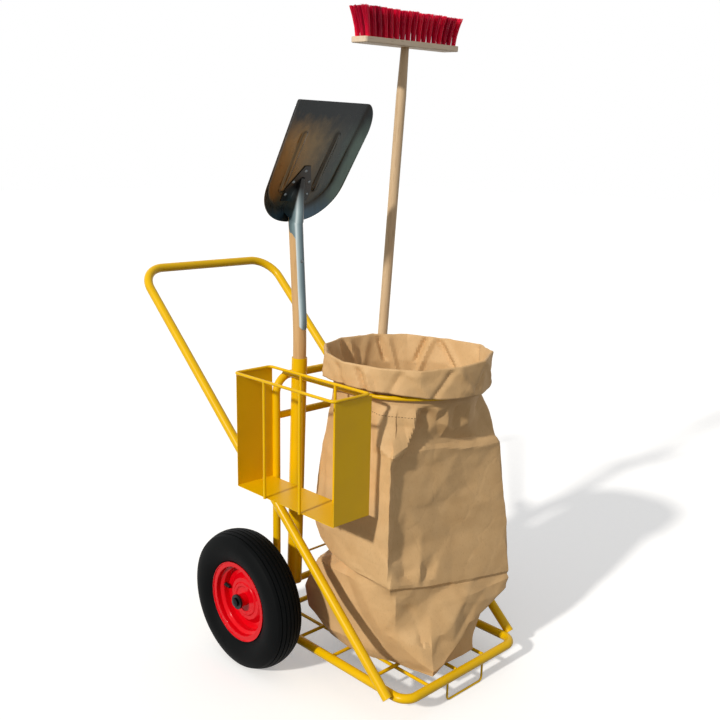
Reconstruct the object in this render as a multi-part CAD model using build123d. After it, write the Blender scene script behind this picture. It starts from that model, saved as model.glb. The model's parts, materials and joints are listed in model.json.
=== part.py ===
from build123d import *
import math
import os

# Cleaning cart: a bent steel tube frame on two barrow wheels that carries a paper sack
# in a hoop, a tool tray, a shovel and a broom. Millimetres, +Z up, -Y to the front,
# origin on the floor under the middle of the axle.

# Fits and gaps
WELD_GAP = 0.05
SEAT_GAP = 0.25
RUNNING_GAP = 0.08
AXLE_PLAY = 0.3
DRILL_GAP = 0.2

# Wheels
TYRE_DIAMETER = 400.0
TYRE_WIDTH = 100.0
TYRE_SIDE_WALL = 6.0
TYRE_TREAD = 11.0
TYRE_SHOULDER_WIDTH = 80.0
TYRE_SHOULDER_DROP = 11.0
TYRE_BEAD_WIDTH = 12.0
TYRE_BULGE_RISE = 36.0
TREAD_GROOVES = 6
TREAD_GROOVE_PITCH = 12.0
TREAD_GROOVE_WIDTH = 3.0
TREAD_GROOVE_DEPTH = 3.0
INNER_TUBE_WALL = 2.0
INNER_TUBE_GAP = 0.8
INNER_TUBE_SIDE_GAP = 5.0
TRACK_WIDTH = 680.0
RIM_SEAT_DIAMETER = 203.0
RIM_FLANGE_DIAMETER = 230.0
RIM_INSIDE_WIDTH = 64.0
RIM_WELL_DIAMETER = 184.0
RIM_WELL_WIDTH = 26.0
RIM_SEAT_WIDTH = 13.0
RIM_LIP = 4.5
RIM_SHEET = 2.0
RIM_BEND = 3.0
DISC_BOSS_DIAMETER = 120.0
DISC_RING_DIAMETER = 146.0
DISC_BOSS_OFFSET = 8.0
DISC_RING_OFFSET = -3.0
DISC_BEAD_DIAMETER = 84.0
DISC_BEAD_RISE = 3.0
DISC_BEAD_WIDTH = 14.0
DISC_BEND = 2.5
VALVE_DIAMETER = 11.0
VALVE_CAP_DIAMETER = 8.0
VALVE_CAP_LENGTH = 9.0
VALVE_REACH = 22.0
VALVE_OFFSET = 9.0
VALVE_ANGLE = 8.0

# Axle and hubs
AXLE_DIAMETER = 20.0
HUB_LENGTH = 76.0
HUB_DIAMETER = 36.0
HUB_BORE = 27.0
BUSH_FLANGE_DIAMETER = 42.0
BUSH_FLANGE = 6.0
BUSH_LENGTH = 26.0
COLLAR_DIAMETER = 34.0
COLLAR_WIDTH = 16.0
CAP_DIAMETER = 25.0
CAP_DEPTH = 6.0
CAP_CROWN = 2.0

# Tubes of the frame
TUBE_DIAMETER = 26.9
RAIL_DIAMETER = 25.0
ARCH_DIAMETER = 22.0
CROSSBAR_DIAMETER = 20.0
TUBE_WALL = 2.0
PLUG_THICKNESS = 2.5

# Arch behind the sack
ARCH_LEG_SPACING = 462.0
ARCH_HEIGHT = 825.6
ARCH_BEND = 48.0
ARCH_SETBACK = 1.0
ARCH_SADDLE = 2.0
CROSSBAR_DROP = 111.8

# Base that the sack stands on
BASE_FRONT_REACH = 512.7
BASE_REAR_REACH = 90.0
BASE_HEIGHT = 68.5
BASE_BEND = 40.0
CROSS_BAR_DIAMETER = 10.0
CROSS_BAR_REAR_REACH = 87.0
CROSS_BAR_MIDDLE_REACH = 225.0
CROSS_BAR_FRONT_REACH = 375.0
LONG_BAR_SPACING = 116.0
REAR_BAR_DIAMETER = 16.0
REAR_BAR_INSET = 14.0
FOOT_WIRE = 6.0
FOOT_WIDTH = 146.0
FOOT_OFFSET = 9.0
FOOT_BEND = 12.0

# Struts and push handle
STRUT_SETBACK = 38.1
STRUT_FOOT_RISE = 2.9
STRUT_CROSSING_HEIGHT = 503.0
STRUT_OVERRUN = 160.0
HANDLE_OVERLAP = 150.0
HANDLE_REACH = 835.0
HANDLE_BEND = 80.0
BOLT_DIAMETER = 8.0
BOLT_HEAD_WIDTH = 13.0
BOLT_HEAD_HEIGHT = 5.3
BOLT_TAIL = 3.0
NUT_HEIGHT = 6.5
BOLT_END_MARGIN = 35.0

# Tool sockets
SOCKET_LEAN = 1.77
SHOVEL_SOCKET_DIAMETER = 42.4
SHOVEL_SOCKET_RISE = 51.0
BROOM_SOCKET_X = 144.0
BROOM_SOCKET_SLANT = 2.24
BROOM_SOCKET_DIAMETER = 33.7
BROOM_SOCKET_RISE = 44.0
SOCKET_WALL = 2.0
SOCKET_SADDLE = 5.0
TIE_ROD_DIAMETER = 6.0
TIE_ROD_RISE = 85.0

# Sack hoop
HOOP_ROD = 12.0
HOOP_RADIUS = 204.0
HOOP_CENTRE_REACH = 264.0
HOOP_RISE = 6.4

# Tool tray
TRAY_SHEET = 1.5
TRAY_FLOOR_HEIGHT = 539.5
TRAY_DEPTH = 311.3
TRAY_LENGTH = 383.1
TRAY_WIDTH = 119.7
TRAY_BACK_OFFSET = 6.1
TRAY_BEND = 3.0
TRAY_LEG_BITE = 1.3
RIM_ROD = 8.0
RIM_ROD_BEND = 12.0
RIM_ROD_INSET = 1.3
TRAY_OUTER_BAR_REAR = 122.0
TRAY_OUTER_BAR_FRONT = 261.0
TRAY_INNER_BAR_REAR = 127.0
TRAY_INNER_BAR_FRONT = 259.0

# Paper sack
SACK_WALL = 2.5
SACK_NECK_GAP = 1.0
SACK_FLAT = 4.0
SACK_FOOT_LEFT = 165.0
SACK_FOOT_RIGHT = 172.0
SACK_FOOT_FRONT_LEFT = 214.0
SACK_FOOT_FRONT_RIGHT = 192.0
SACK_FOOT_BACK = 202.0
SACK_FOOT_ROUND = 75.0
SACK_HEEL_RISE = 126.0
SACK_HEEL_LEFT = 196.0
SACK_HEEL_RIGHT = 212.0
SACK_HEEL_FRONT_LEFT = 190.0
SACK_HEEL_FRONT_RIGHT = 212.0
SACK_HEEL_BACK = 194.0
SACK_HEEL_ROUND = 60.0
SACK_FOLD_RISE = 246.0
SACK_FOLD_LEFT = 208.0
SACK_FOLD_RIGHT = 234.0
SACK_FOLD_FRONT_LEFT = 138.0
SACK_FOLD_FRONT_RIGHT = 200.0
SACK_FOLD_BACK = 190.0
SACK_FOLD_ROUND = 45.0
SACK_SHOULDER_DROP = 132.0
SACK_SHOULDER_LEFT = 198.0
SACK_SHOULDER_RIGHT = 212.0
SACK_SHOULDER_FRONT_LEFT = 136.0
SACK_SHOULDER_FRONT_RIGHT = 182.0
SACK_SHOULDER_BACK = 184.0
SACK_SHOULDER_ROUND = 60.0
SACK_NECK_DROP = 17.0
CUFF_RADIUS = 227.0
CUFF_RISE = 73.0
CUFF_ROLL = 10.0
CUFF_CLEARANCE = 6.0
SKIRT_DROP = 32.0
SKIRT_LEFT_ANGLE = 45.0
SKIRT_RIGHT_ANGLE = 85.0

# Shovel
SHAFT_DIAMETER = 36.0
SHAFT_STRAIGHT = 670.0
SHAFT_BEND_RADIUS = 1200.0
SHAFT_BEND_ANGLE = 5.8
SHAFT_TOP_RUN = 254.0
BLADE_LEAN = 33.7
BLADE_DEPTH = 26.7
BLADE_LENGTH = 313.0
BLADE_FLOOR_WIDTH = 203.0
BLADE_EDGE_WIDTH = 237.0
BLADE_WALL_HEIGHT = 28.0
BLADE_FLARE = 44.0
BLADE_CORNER_HEIGHT = 22.5
BLADE_CORNER_LENGTH = 79.0
BLADE_SHEET = 1.8
BLADE_SHOULDER = 90.0
BLADE_EDGE_ROUND = 6.0
BLADE_RIB_SPACING = 108.0
BLADE_RIB_WIDTH = 14.0
BLADE_RIB_RISE = 4.0
BLADE_RIB_DRAFT = 40.0
BLADE_RIB_START = 56.0
BLADE_RIB_LENGTH = 174.0
STRAP_SHEET = 2.2
STRAP_WIDTH = 25.0
STRAP_LENGTH = 302.0
STRAP_WRAP_LENGTH = 64.0
STRAP_WRAP_TAPER = 26.0
STRAP_WRAP_BACK = 2.0
FROG_WIDTH = 88.0
FROG_LENGTH = 132.0
FROG_TIP_WIDTH = 18.0
FROG_START = 26.0
FROG_SIDE = 36.0
FROG_SHEET = 2.0
RIDGE_OVERLAP = 0.6
RIDGE_BACK = 6.0
RIDGE_LENGTH = 97.0
RIDGE_TIP_WIDTH = 11.0
RIDGE_TIP_SIDE = 2.6
RIDGE_TIP_HEIGHT = 6.0
RIVET_DIAMETER = 5.0
RIVET_HEAD_DIAMETER = 9.0
RIVET_HEAD_HEIGHT = 2.4
RIVET_SPREADS = (0.0, 26.0, 36.0)
RIVET_REACHES = (117.0, 84.0, 46.0)
STRAP_RIVET_DROP = 120.0
STRAP_RIVET_DEPTH = 20.0

# Broom
STICK_DIAMETER = 28.0
STICK_TIP_DIAMETER = 22.0
STICK_TIP_LENGTH = 15.0
STICK_TAPER_LENGTH = 120.0
STICK_LENGTH = 1494.0
BLOCK_LENGTH = 400.0
BLOCK_WIDTH = 55.0
BLOCK_THICKNESS = 17.0
BLOCK_END_ROUND = 8.0
BLOCK_EDGE_ROUND = 3.0
BLOCK_SHIFT = 10.0
BLOCK_TURN = 3.9
BLOCK_RISE = 1.5
BLOCK_HOLE_DEPTH = 12.0
BRISTLE_SLICE = 2.0
BRISTLE_COLUMNS = 34
BRISTLE_ROWS = 10
BRISTLE_LENGTH = 80.0
BRISTLE_MARGIN = 9.0
BRISTLE_THICKNESS = 3.2
BRISTLE_FLARE = 20.0
BRISTLE_SPREAD = 6.0

# Places worked out from the sizes above
axle_height = TYRE_DIAMETER / 2
arch_leg_x = ARCH_LEG_SPACING / 2
strut_x = arch_leg_x + (ARCH_DIAMETER + TUBE_DIAMETER) / 2 + WELD_GAP
rail_x = strut_x - (TUBE_DIAMETER + RAIL_DIAMETER) / 2 - WELD_GAP
base_front_y = -BASE_FRONT_REACH
long_bar_z = BASE_HEIGHT - CROSS_BAR_DIAMETER - WELD_GAP
rear_bar_y = BASE_REAR_REACH - REAR_BAR_INSET
rear_bar_z = long_bar_z + (CROSS_BAR_DIAMETER + REAR_BAR_DIAMETER) / 2 + WELD_GAP
hub_outer = (TRACK_WIDTH + HUB_LENGTH) / 2
hub_inner = (TRACK_WIDTH - HUB_LENGTH) / 2
axle_end = hub_outer + AXLE_PLAY + CAP_DEPTH - WELD_GAP
shovel_socket_x = (SHOVEL_SOCKET_DIAMETER + HOOP_ROD) / 2 + WELD_GAP - HOOP_RADIUS
hoop_z = ARCH_HEIGHT + HOOP_RISE
hoop_y = -HOOP_CENTRE_REACH
crossbar_z = ARCH_HEIGHT - CROSSBAR_DROP

# Slope of the struts, seen from the side: from the front of the base up past the arch
strut_foot = Vector(0, base_front_y + STRUT_SETBACK, BASE_HEIGHT + STRUT_FOOT_RISE)
strut_slope = math.atan2(STRUT_CROSSING_HEIGHT - strut_foot.Z, -strut_foot.Y)
along = Vector(0, math.cos(strut_slope), math.sin(strut_slope))
across = Vector(0, -math.sin(strut_slope), math.cos(strut_slope))
strut_top = Vector(0, 0, STRUT_CROSSING_HEIGHT) + along * STRUT_OVERRUN
handle_foot = strut_top - along * HANDLE_OVERLAP - across * (TUBE_DIAMETER + WELD_GAP)
handle_top = handle_foot + along * HANDLE_REACH

# Lean of the tool sockets, which touch the arch and its crossbar from the front
lean = math.radians(SOCKET_LEAN)
slant = math.radians(BROOM_SOCKET_SLANT)
crossbar_rise = (CROSSBAR_DIAMETER - ARCH_DIAMETER) / 2 + CROSSBAR_DROP * math.sin(lean)
crossbar_y = ARCH_SETBACK + crossbar_rise / math.cos(lean)

ON_TOP = (Align.CENTER, Align.CENTER, Align.MIN)


def rod(points, diameter, bends=None):
    """Solid rod of one diameter along straight runs with tangent bends."""
    path = FilletPolyline(*points, radius=bends) if bends else Polyline(*points)
    section = Plane(origin=path @ 0, z_dir=path % 0) * Circle(diameter / 2)
    return sweep(section, path)


def pipe(points, diameter, wall, bends=None):
    """Round tube, open at both ends."""
    return rod(points, diameter, bends) - rod(points, diameter - 2 * wall, bends)


def weld_cut(points, diameter, bends=None):
    """The space that a neighbour's end is coped around before it is welded on."""
    return rod(points, diameter + 2 * WELD_GAP, bends)


def pin(origin, direction, diameter, length):
    """Round bar that starts at a point and runs along a direction."""
    return Plane(origin=origin, z_dir=direction) * Cylinder(diameter / 2, length, align=ON_TOP)


def at_x(point, x):
    """The same place in another plane along the cart."""
    return Vector(x, point.Y, point.Z)


def other_side(part):
    """The same piece on the other side of the cart."""
    return mirror(part, about=Plane.YZ)


# Paths that several pieces share
axle_line = [(-axle_end, 0, axle_height), (axle_end, 0, axle_height)]
rail_line = [
    (-rail_x, BASE_REAR_REACH, BASE_HEIGHT),
    (-rail_x, base_front_y, BASE_HEIGHT),
    (rail_x, base_front_y, BASE_HEIGHT),
    (rail_x, BASE_REAR_REACH, BASE_HEIGHT),
]
arch_foot_z = axle_height + ARCH_SADDLE
arch_line = [
    (-arch_leg_x, ARCH_SETBACK, arch_foot_z),
    (-arch_leg_x, ARCH_SETBACK, ARCH_HEIGHT),
    (arch_leg_x, ARCH_SETBACK, ARCH_HEIGHT),
    (arch_leg_x, ARCH_SETBACK, arch_foot_z),
]
axle_cut = weld_cut(axle_line, AXLE_DIAMETER)
rail_cut = weld_cut(rail_line, RAIL_DIAMETER, BASE_BEND)
arch_cut = weld_cut(arch_line, ARCH_DIAMETER, ARCH_BEND)


# Wheel, made on the right with its middle at the origin
tyre_radius = TYRE_DIAMETER / 2
seat_radius = RIM_SEAT_DIAMETER / 2
flange_radius = RIM_FLANGE_DIAMETER / 2
well_radius = RIM_WELL_DIAMETER / 2
rim_half = RIM_INSIDE_WIDTH / 2
crown_span = TYRE_SHOULDER_WIDTH / 2
crown_curve = (crown_span**2 + TYRE_SHOULDER_DROP**2) / (2 * TYRE_SHOULDER_DROP)
inner_tube_height = tyre_radius - TYRE_TREAD - flange_radius - 2 * INNER_TUBE_GAP
inner_tube_width = TYRE_WIDTH - 2 * (TYRE_SIDE_WALL + INNER_TUBE_SIDE_GAP)
inner_tube_radius = flange_radius + INNER_TUBE_GAP + inner_tube_height / 2


def crown_height(x):
    """Radius of the tread at a distance from the middle of the tyre."""
    return tyre_radius - crown_curve + math.sqrt(crown_curve**2 - x**2)


def casing_arcs(bead, bulge, shoulder, shoulder_radius, crown_radius):
    """Side wall, crown and side wall as three arcs, from the right bead to the left one."""
    bulge_radius = flange_radius + TYRE_BULGE_RISE
    right = ThreePointArc((bead, flange_radius), (bulge, bulge_radius), (shoulder, shoulder_radius))
    crown = ThreePointArc((shoulder, shoulder_radius), (0, crown_radius), (-shoulder, shoulder_radius))
    left = ThreePointArc((-shoulder, shoulder_radius), (-bulge, bulge_radius), (-bead, flange_radius))
    return [right.edge(), crown.edge(), left.edge()]


def make_tyre():
    """Casing with its beads, side walls and ribbed tread."""
    heel = rim_half - WELD_GAP
    toe = heel - TYRE_BEAD_WIDTH
    bead_radius = seat_radius + WELD_GAP
    shoulder_radius = tyre_radius - TYRE_SHOULDER_DROP
    outside = casing_arcs(heel, TYRE_WIDTH / 2, crown_span, shoulder_radius, tyre_radius)
    inside = casing_arcs(
        toe,
        TYRE_WIDTH / 2 - TYRE_SIDE_WALL,
        crown_span - TYRE_SIDE_WALL,
        shoulder_radius - TYRE_SIDE_WALL,
        tyre_radius - TYRE_TREAD,
    )
    beads = []
    for side in (1, -1):
        heel_top = (side * heel, flange_radius)
        heel_foot = (side * heel, bead_radius)
        toe_foot = (side * toe, bead_radius)
        toe_top = (side * toe, flange_radius)
        beads += Polyline(heel_top, heel_foot, toe_foot, toe_top).edges()
    profile = make_face(outside + inside + beads)
    for index in range(TREAD_GROOVES):
        x = (index - (TREAD_GROOVES - 1) / 2) * TREAD_GROOVE_PITCH
        profile -= Pos(x, crown_height(x)) * Rectangle(TREAD_GROOVE_WIDTH, 2 * TREAD_GROOVE_DEPTH)
    return revolve(profile, axis=Axis.X)


def make_inner_tube():
    """Air tube inside the casing, hollow."""
    outside = Ellipse(inner_tube_width / 2, inner_tube_height / 2)
    inside = Ellipse(inner_tube_width / 2 - INNER_TUBE_WALL, inner_tube_height / 2 - INNER_TUBE_WALL)
    return revolve(Pos(0, inner_tube_radius) * (outside - inside), axis=Axis.X)


def sheet_profile(points, thickness, bends):
    """Section of bent sheet to the left of a line of points."""
    line = FilletPolyline(*points, radius=bends)
    return make_face(offset(line, amount=thickness, side=Side.LEFT).edges())


def valve_frame():
    """Frame of the valve: on the well of the rim, pointing to the axle."""
    angle = math.radians(VALVE_ANGLE)
    inwards = Vector(0, -math.cos(angle), -math.sin(angle))
    return Plane(origin=Vector(VALVE_OFFSET, 0, 0) - inwards * well_radius, z_dir=inwards)


def make_rim():
    """Pressed rim: a barrel with two flanges and a well, and a stepped disc across it."""
    half = [
        (rim_half + RIM_LIP, flange_radius),
        (rim_half, flange_radius),
        (rim_half, seat_radius),
        (rim_half - RIM_SEAT_WIDTH, seat_radius),
        (RIM_WELL_WIDTH / 2, well_radius),
    ]
    other_half = [(-x, radius) for x, radius in reversed(half)]
    half_bends = [RIM_BEND, 0, RIM_BEND, RIM_BEND]
    barrel = sheet_profile(half + other_half, RIM_SHEET, half_bends + half_bends[::-1])
    bead_top = DISC_BOSS_OFFSET + DISC_BEAD_RISE
    bead_foot = (DISC_BEAD_DIAMETER - DISC_BEAD_WIDTH) / 2
    bead_end = (DISC_BEAD_DIAMETER + DISC_BEAD_WIDTH) / 2
    disc_line = [
        (DISC_BOSS_OFFSET, HUB_DIAMETER / 2 + WELD_GAP),
        (DISC_BOSS_OFFSET, bead_foot),
        (bead_top, bead_foot + DISC_BEAD_RISE),
        (bead_top, bead_end - DISC_BEAD_RISE),
        (DISC_BOSS_OFFSET, bead_end),
        (DISC_BOSS_OFFSET, DISC_BOSS_DIAMETER / 2),
        (DISC_RING_OFFSET, DISC_RING_DIAMETER / 2),
        (DISC_RING_OFFSET, well_radius - RIM_SHEET / 2),
    ]
    disc = sheet_profile(disc_line, RIM_SHEET, DISC_BEND)
    drill = valve_frame() * Cylinder(VALVE_DIAMETER / 2 + DRILL_GAP, 2 * VALVE_REACH)
    return revolve(barrel + disc, axis=Axis.X) - drill


def make_valve():
    """Rubber valve stem of the inner tube, with its cap."""
    root = well_radius - inner_tube_radius + inner_tube_height / 2 + SEAT_GAP
    neck = VALVE_REACH - VALVE_CAP_LENGTH
    stem = Pos(0, 0, root) * Cylinder(VALVE_DIAMETER / 2, neck - root, align=ON_TOP)
    cap = Pos(0, 0, neck) * Cylinder(VALVE_CAP_DIAMETER / 2, VALVE_CAP_LENGTH, align=ON_TOP)
    return valve_frame() * (stem + cap)


def make_hub():
    """Hub tube that the disc is welded to."""
    length = HUB_LENGTH - 2 * BUSH_FLANGE
    return Rot(0, 90, 0) * (Cylinder(HUB_DIAMETER / 2, length) - Cylinder(HUB_BORE / 2, length))


def make_bushes():
    """Two flanged plastic bushes that run on the axle."""
    flange = Cylinder(BUSH_FLANGE_DIAMETER / 2, BUSH_FLANGE, align=ON_TOP)
    sleeve = Cylinder(HUB_BORE / 2 - WELD_GAP, BUSH_FLANGE + BUSH_LENGTH, align=ON_TOP)
    bore = Cylinder(AXLE_DIAMETER / 2 + RUNNING_GAP, BUSH_FLANGE + BUSH_LENGTH, align=ON_TOP)
    bush = Pos(-HUB_LENGTH / 2, 0, 0) * Rot(0, 90, 0) * (flange + sleeve - bore)
    return Compound([bush.solid(), other_side(bush).solid()])


# Axle and what holds the wheels on it
def make_axle():
    """Plain round bar across the cart."""
    return rod(axle_line, AXLE_DIAMETER)


def make_collars():
    """Collars that keep the wheels away from the frame."""
    start = hub_inner - AXLE_PLAY - COLLAR_WIDTH
    ring = pin((start, 0, axle_height), (1, 0, 0), COLLAR_DIAMETER, COLLAR_WIDTH) - axle_cut
    return Compound([ring.solid(), other_side(ring).solid()])


def make_caps():
    """Push-on caps that close the axle ends."""
    start = hub_outer + AXLE_PLAY
    edge = start + CAP_DEPTH
    top = edge + CAP_CROWN
    grip = AXLE_DIAMETER / 2 + WELD_GAP
    radius = CAP_DIAMETER / 2
    outline = Polyline((top, 0), (edge, 0), (edge, grip), (start, grip), (start, radius), (edge, radius))
    crown_centre = (edge + top) / 2 - (radius**2) / (2 * CAP_CROWN)
    crown = RadiusArc((edge, radius), (top, 0), top - crown_centre)
    face = make_face(outline.edges() + crown.edges())
    cap = Pos(0, 0, axle_height) * revolve(face, axis=Axis.X)
    return Compound([cap.solid(), other_side(cap).solid()])


# Frame of bent tube
def bolt_frames():
    """Frames of the handle bolts: on top of the right strut, pointing out of it."""
    first = strut_top - along * (HANDLE_OVERLAP - BOLT_END_MARGIN)
    second = strut_top - along * BOLT_END_MARGIN
    lift = across * (TUBE_DIAMETER / 2 + WELD_GAP)
    return [Plane(origin=at_x(place + lift, strut_x), z_dir=across) for place in (first, second)]


bolt_stack = 2 * TUBE_DIAMETER + 3 * WELD_GAP


def bolt_drills():
    """Holes for the handle bolts through the strut and the handle leg on the right."""
    depth = 2 * bolt_stack
    hole = Cylinder(BOLT_DIAMETER / 2 + DRILL_GAP, depth)
    return [frame * hole for frame in bolt_frames()]


def make_strut():
    """Right strut, from the front of the base to the handle."""
    ends = [at_x(strut_foot, strut_x), at_x(strut_top, strut_x)]
    return pipe(ends, TUBE_DIAMETER, TUBE_WALL) - bolt_drills()


def make_handle():
    """Push handle: one tube bent to a U."""
    points = [
        at_x(handle_foot, -strut_x),
        at_x(handle_top, -strut_x),
        at_x(handle_top, strut_x),
        at_x(handle_foot, strut_x),
    ]
    drills = bolt_drills()
    drills += [other_side(hole) for hole in drills]
    return pipe(points, TUBE_DIAMETER, TUBE_WALL, HANDLE_BEND) - drills


def make_bolts():
    """Hexagon bolts through strut and handle."""
    head = extrude(RegularPolygon(BOLT_HEAD_WIDTH / 2, 6, major_radius=False), BOLT_HEAD_HEIGHT)
    length = bolt_stack + WELD_GAP + NUT_HEIGHT + BOLT_TAIL
    bolt = head + Pos(0, 0, -length) * Cylinder(BOLT_DIAMETER / 2, length, align=ON_TOP)
    right = [(frame * bolt).solid() for frame in bolt_frames()]
    return Compound(right + [other_side(one).solid() for one in right])


def make_nuts():
    """Nuts of the handle bolts."""
    hexagon = RegularPolygon(BOLT_HEAD_WIDTH / 2, 6, major_radius=False)
    nut = extrude(hexagon - Circle(BOLT_DIAMETER / 2 + WELD_GAP), -NUT_HEIGHT)
    lowered = Pos(0, 0, -bolt_stack) * nut
    right = [(frame * lowered).solid() for frame in bolt_frames()]
    return Compound(right + [other_side(one).solid() for one in right])


def make_plugs():
    """Welded discs that close the tube ends."""
    ends = [
        (at_x(strut_foot, strut_x), along, TUBE_DIAMETER),
        (at_x(strut_top, strut_x), along * -1, TUBE_DIAMETER),
        (at_x(handle_foot, strut_x), along, TUBE_DIAMETER),
        (Vector(rail_x, BASE_REAR_REACH, BASE_HEIGHT), Vector(0, -1, 0), RAIL_DIAMETER),
    ]
    right = [
        pin(end, inwards, diameter - 2 * TUBE_WALL - 2 * WELD_GAP, PLUG_THICKNESS).solid()
        for end, inwards, diameter in ends
    ]
    return Compound(right + [other_side(one).solid() for one in right])


def make_arch():
    """Arch behind the sack, with its legs saddled on the axle."""
    return pipe(arch_line, ARCH_DIAMETER, TUBE_WALL, ARCH_BEND) - axle_cut


def make_post():
    """Right post between the axle and the base."""
    top = (arch_leg_x, ARCH_SETBACK, axle_height - ARCH_SADDLE)
    foot = (arch_leg_x, ARCH_SETBACK, BASE_HEIGHT)
    return pipe([top, foot], ARCH_DIAMETER, TUBE_WALL) - axle_cut - rail_cut


def make_crossbar():
    """Tube across the arch that the tool sockets lean on."""
    ends = [(-arch_leg_x, crossbar_y, crossbar_z), (arch_leg_x, crossbar_y, crossbar_z)]
    return pipe(ends, CROSSBAR_DIAMETER, TUBE_WALL) - arch_cut


# Base grid
def make_base_frame():
    """Base rail: one tube bent to a U that is open at the back."""
    return pipe(rail_line, RAIL_DIAMETER, TUBE_WALL, BASE_BEND)


def make_cross_bar(y, z, diameter):
    """Rod across the base, coped to the rails."""
    return rod([(-rail_x, y, z), (rail_x, y, z)], diameter) - rail_cut


def make_long_bar(x):
    """Rod along the base under the cross bars, from the front rail to the rear bar."""
    ends = [(x, base_front_y, long_bar_z), (x, rear_bar_y + REAR_BAR_DIAMETER / 2, long_bar_z)]
    return rod(ends, CROSS_BAR_DIAMETER) - rail_cut


def make_foot():
    """Wire foot under the front rail."""
    left = FOOT_OFFSET - FOOT_WIDTH / 2
    right = FOOT_OFFSET + FOOT_WIDTH / 2
    points = [
        (left, base_front_y, BASE_HEIGHT),
        (left, base_front_y, FOOT_WIRE / 2),
        (right, base_front_y, FOOT_WIRE / 2),
        (right, base_front_y, BASE_HEIGHT),
    ]
    return rod(points, FOOT_WIRE, FOOT_BEND) - rail_cut


# Tool sockets, along their leaning axes
shovel_axis = Vector(0, -math.sin(lean), math.cos(lean))
broom_axis = Vector(math.tan(slant), -math.tan(lean), 1).normalized()


def socket_centre(x, diameter):
    """Where a socket's axis passes the top of the arch."""
    reach = (diameter + ARCH_DIAMETER) / 2 + WELD_GAP
    return Vector(x, ARCH_SETBACK - reach / math.cos(lean), ARCH_HEIGHT)


shovel_centre = socket_centre(shovel_socket_x, SHOVEL_SOCKET_DIAMETER)
broom_centre = socket_centre(BROOM_SOCKET_X, BROOM_SOCKET_DIAMETER)


def at_height(centre, axis, z):
    """Point of a leaning axis at a height."""
    return centre + axis * ((z - centre.Z) / axis.Z)


def make_socket(centre, axis, diameter, rise):
    """Tube for a tool handle, saddled on the axle and open at the top."""
    foot = at_height(centre, axis, axle_height + AXLE_DIAMETER / 2 - SOCKET_SADDLE)
    top = at_height(centre, axis, ARCH_HEIGHT + rise)
    return pipe([foot, top], diameter, SOCKET_WALL) - axle_cut


def make_tie_rod():
    """Thin rod between the two sockets near their feet."""
    foot_z = axle_height
    left = at_height(shovel_centre, shovel_axis, foot_z + TIE_ROD_RISE)
    right = at_height(broom_centre, broom_axis, foot_z + TIE_ROD_RISE)
    shovel_cut = weld_cut(
        [at_height(shovel_centre, shovel_axis, foot_z), shovel_centre], SHOVEL_SOCKET_DIAMETER
    )
    broom_cut = weld_cut([at_height(broom_centre, broom_axis, foot_z), broom_centre], BROOM_SOCKET_DIAMETER)
    return rod([left, right], TIE_ROD_DIAMETER) - shovel_cut - broom_cut


def make_hoop():
    """Rod bent to a U that the sack's mouth is folded over, coped to the arch."""
    left_end = (-HOOP_RADIUS, ARCH_SETBACK, hoop_z)
    left = (-HOOP_RADIUS, hoop_y, hoop_z)
    front = (0, hoop_y - HOOP_RADIUS, hoop_z)
    right = (HOOP_RADIUS, hoop_y, hoop_z)
    right_end = (HOOP_RADIUS, ARCH_SETBACK, hoop_z)
    path = Line(left_end, left) + ThreePointArc(left, front, right) + Line(right, right_end)
    section = Plane(origin=left_end, z_dir=(0, -1, 0)) * Circle(HOOP_ROD / 2)
    return sweep(section, path) - arch_cut


# Tool tray on the left leg of the arch
tray_inner_x = -arch_leg_x - ARCH_DIAMETER / 2 + TRAY_LEG_BITE
tray_outer_x = tray_inner_x - TRAY_WIDTH
tray_back_y = ARCH_SETBACK + TRAY_BACK_OFFSET
tray_front_y = tray_back_y - TRAY_LENGTH
tray_top_z = TRAY_FLOOR_HEIGHT + TRAY_DEPTH
rim_rod_z = tray_top_z + RIM_ROD / 2 + WELD_GAP
rim_outer_x = tray_outer_x - RIM_ROD / 2 - WELD_GAP
rim_inner_x = tray_inner_x - RIM_ROD_INSET - RIM_ROD / 2
rim_back_y = tray_back_y - TRAY_SHEET / 2
rim_front_y = tray_front_y + TRAY_SHEET / 2


def make_tray_sheet():
    """Back, floor and front of the tray, bent from one sheet."""
    outline = [
        (tray_front_y, tray_top_z),
        (tray_front_y, TRAY_FLOOR_HEIGHT),
        (tray_back_y, TRAY_FLOOR_HEIGHT),
        (tray_back_y, tray_top_z),
    ]
    profile = sheet_profile(outline, TRAY_SHEET, TRAY_BEND)
    return extrude(Plane.YZ.offset(tray_outer_x) * profile, TRAY_WIDTH) - arch_cut


def make_tray_rim():
    """Rod around the top of the tray."""
    middle = (rim_outer_x + rim_inner_x) / 2
    points = [
        (middle, rim_back_y, rim_rod_z),
        (rim_outer_x, rim_back_y, rim_rod_z),
        (rim_outer_x, rim_front_y, rim_rod_z),
        (rim_inner_x, rim_front_y, rim_rod_z),
        (rim_inner_x, rim_back_y, rim_rod_z),
    ]
    path = FilletPolyline(*points, radius=[0] + [RIM_ROD_BEND] * 4, close=True)
    section = Plane(origin=path @ 0, z_dir=path % 0) * Circle(RIM_ROD / 2)
    return sweep(section, path)


def make_tray_bar(x, reach, foot_z):
    """Upright rod at the side of the tray, under the rim rod."""
    y = tray_back_y - reach
    run = [(x, rim_front_y, rim_rod_z), (x, rim_back_y, rim_rod_z)]
    return rod([(x, y, foot_z), (x, y, rim_rod_z)], RIM_ROD) - weld_cut(run, RIM_ROD)


# Paper sack that stands on the base, with its mouth turned down over the hoop
sack_foot_z = BASE_HEIGHT + CROSS_BAR_DIAMETER / 2 + SEAT_GAP
neck_z = hoop_z - SACK_NECK_DROP
cuff_foot_z = hoop_z + HOOP_ROD / 2 + CUFF_CLEARANCE
cuff_top_z = hoop_z + CUFF_RISE
neck_radius = HOOP_RADIUS - HOOP_ROD / 2 - SACK_NECK_GAP


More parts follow.
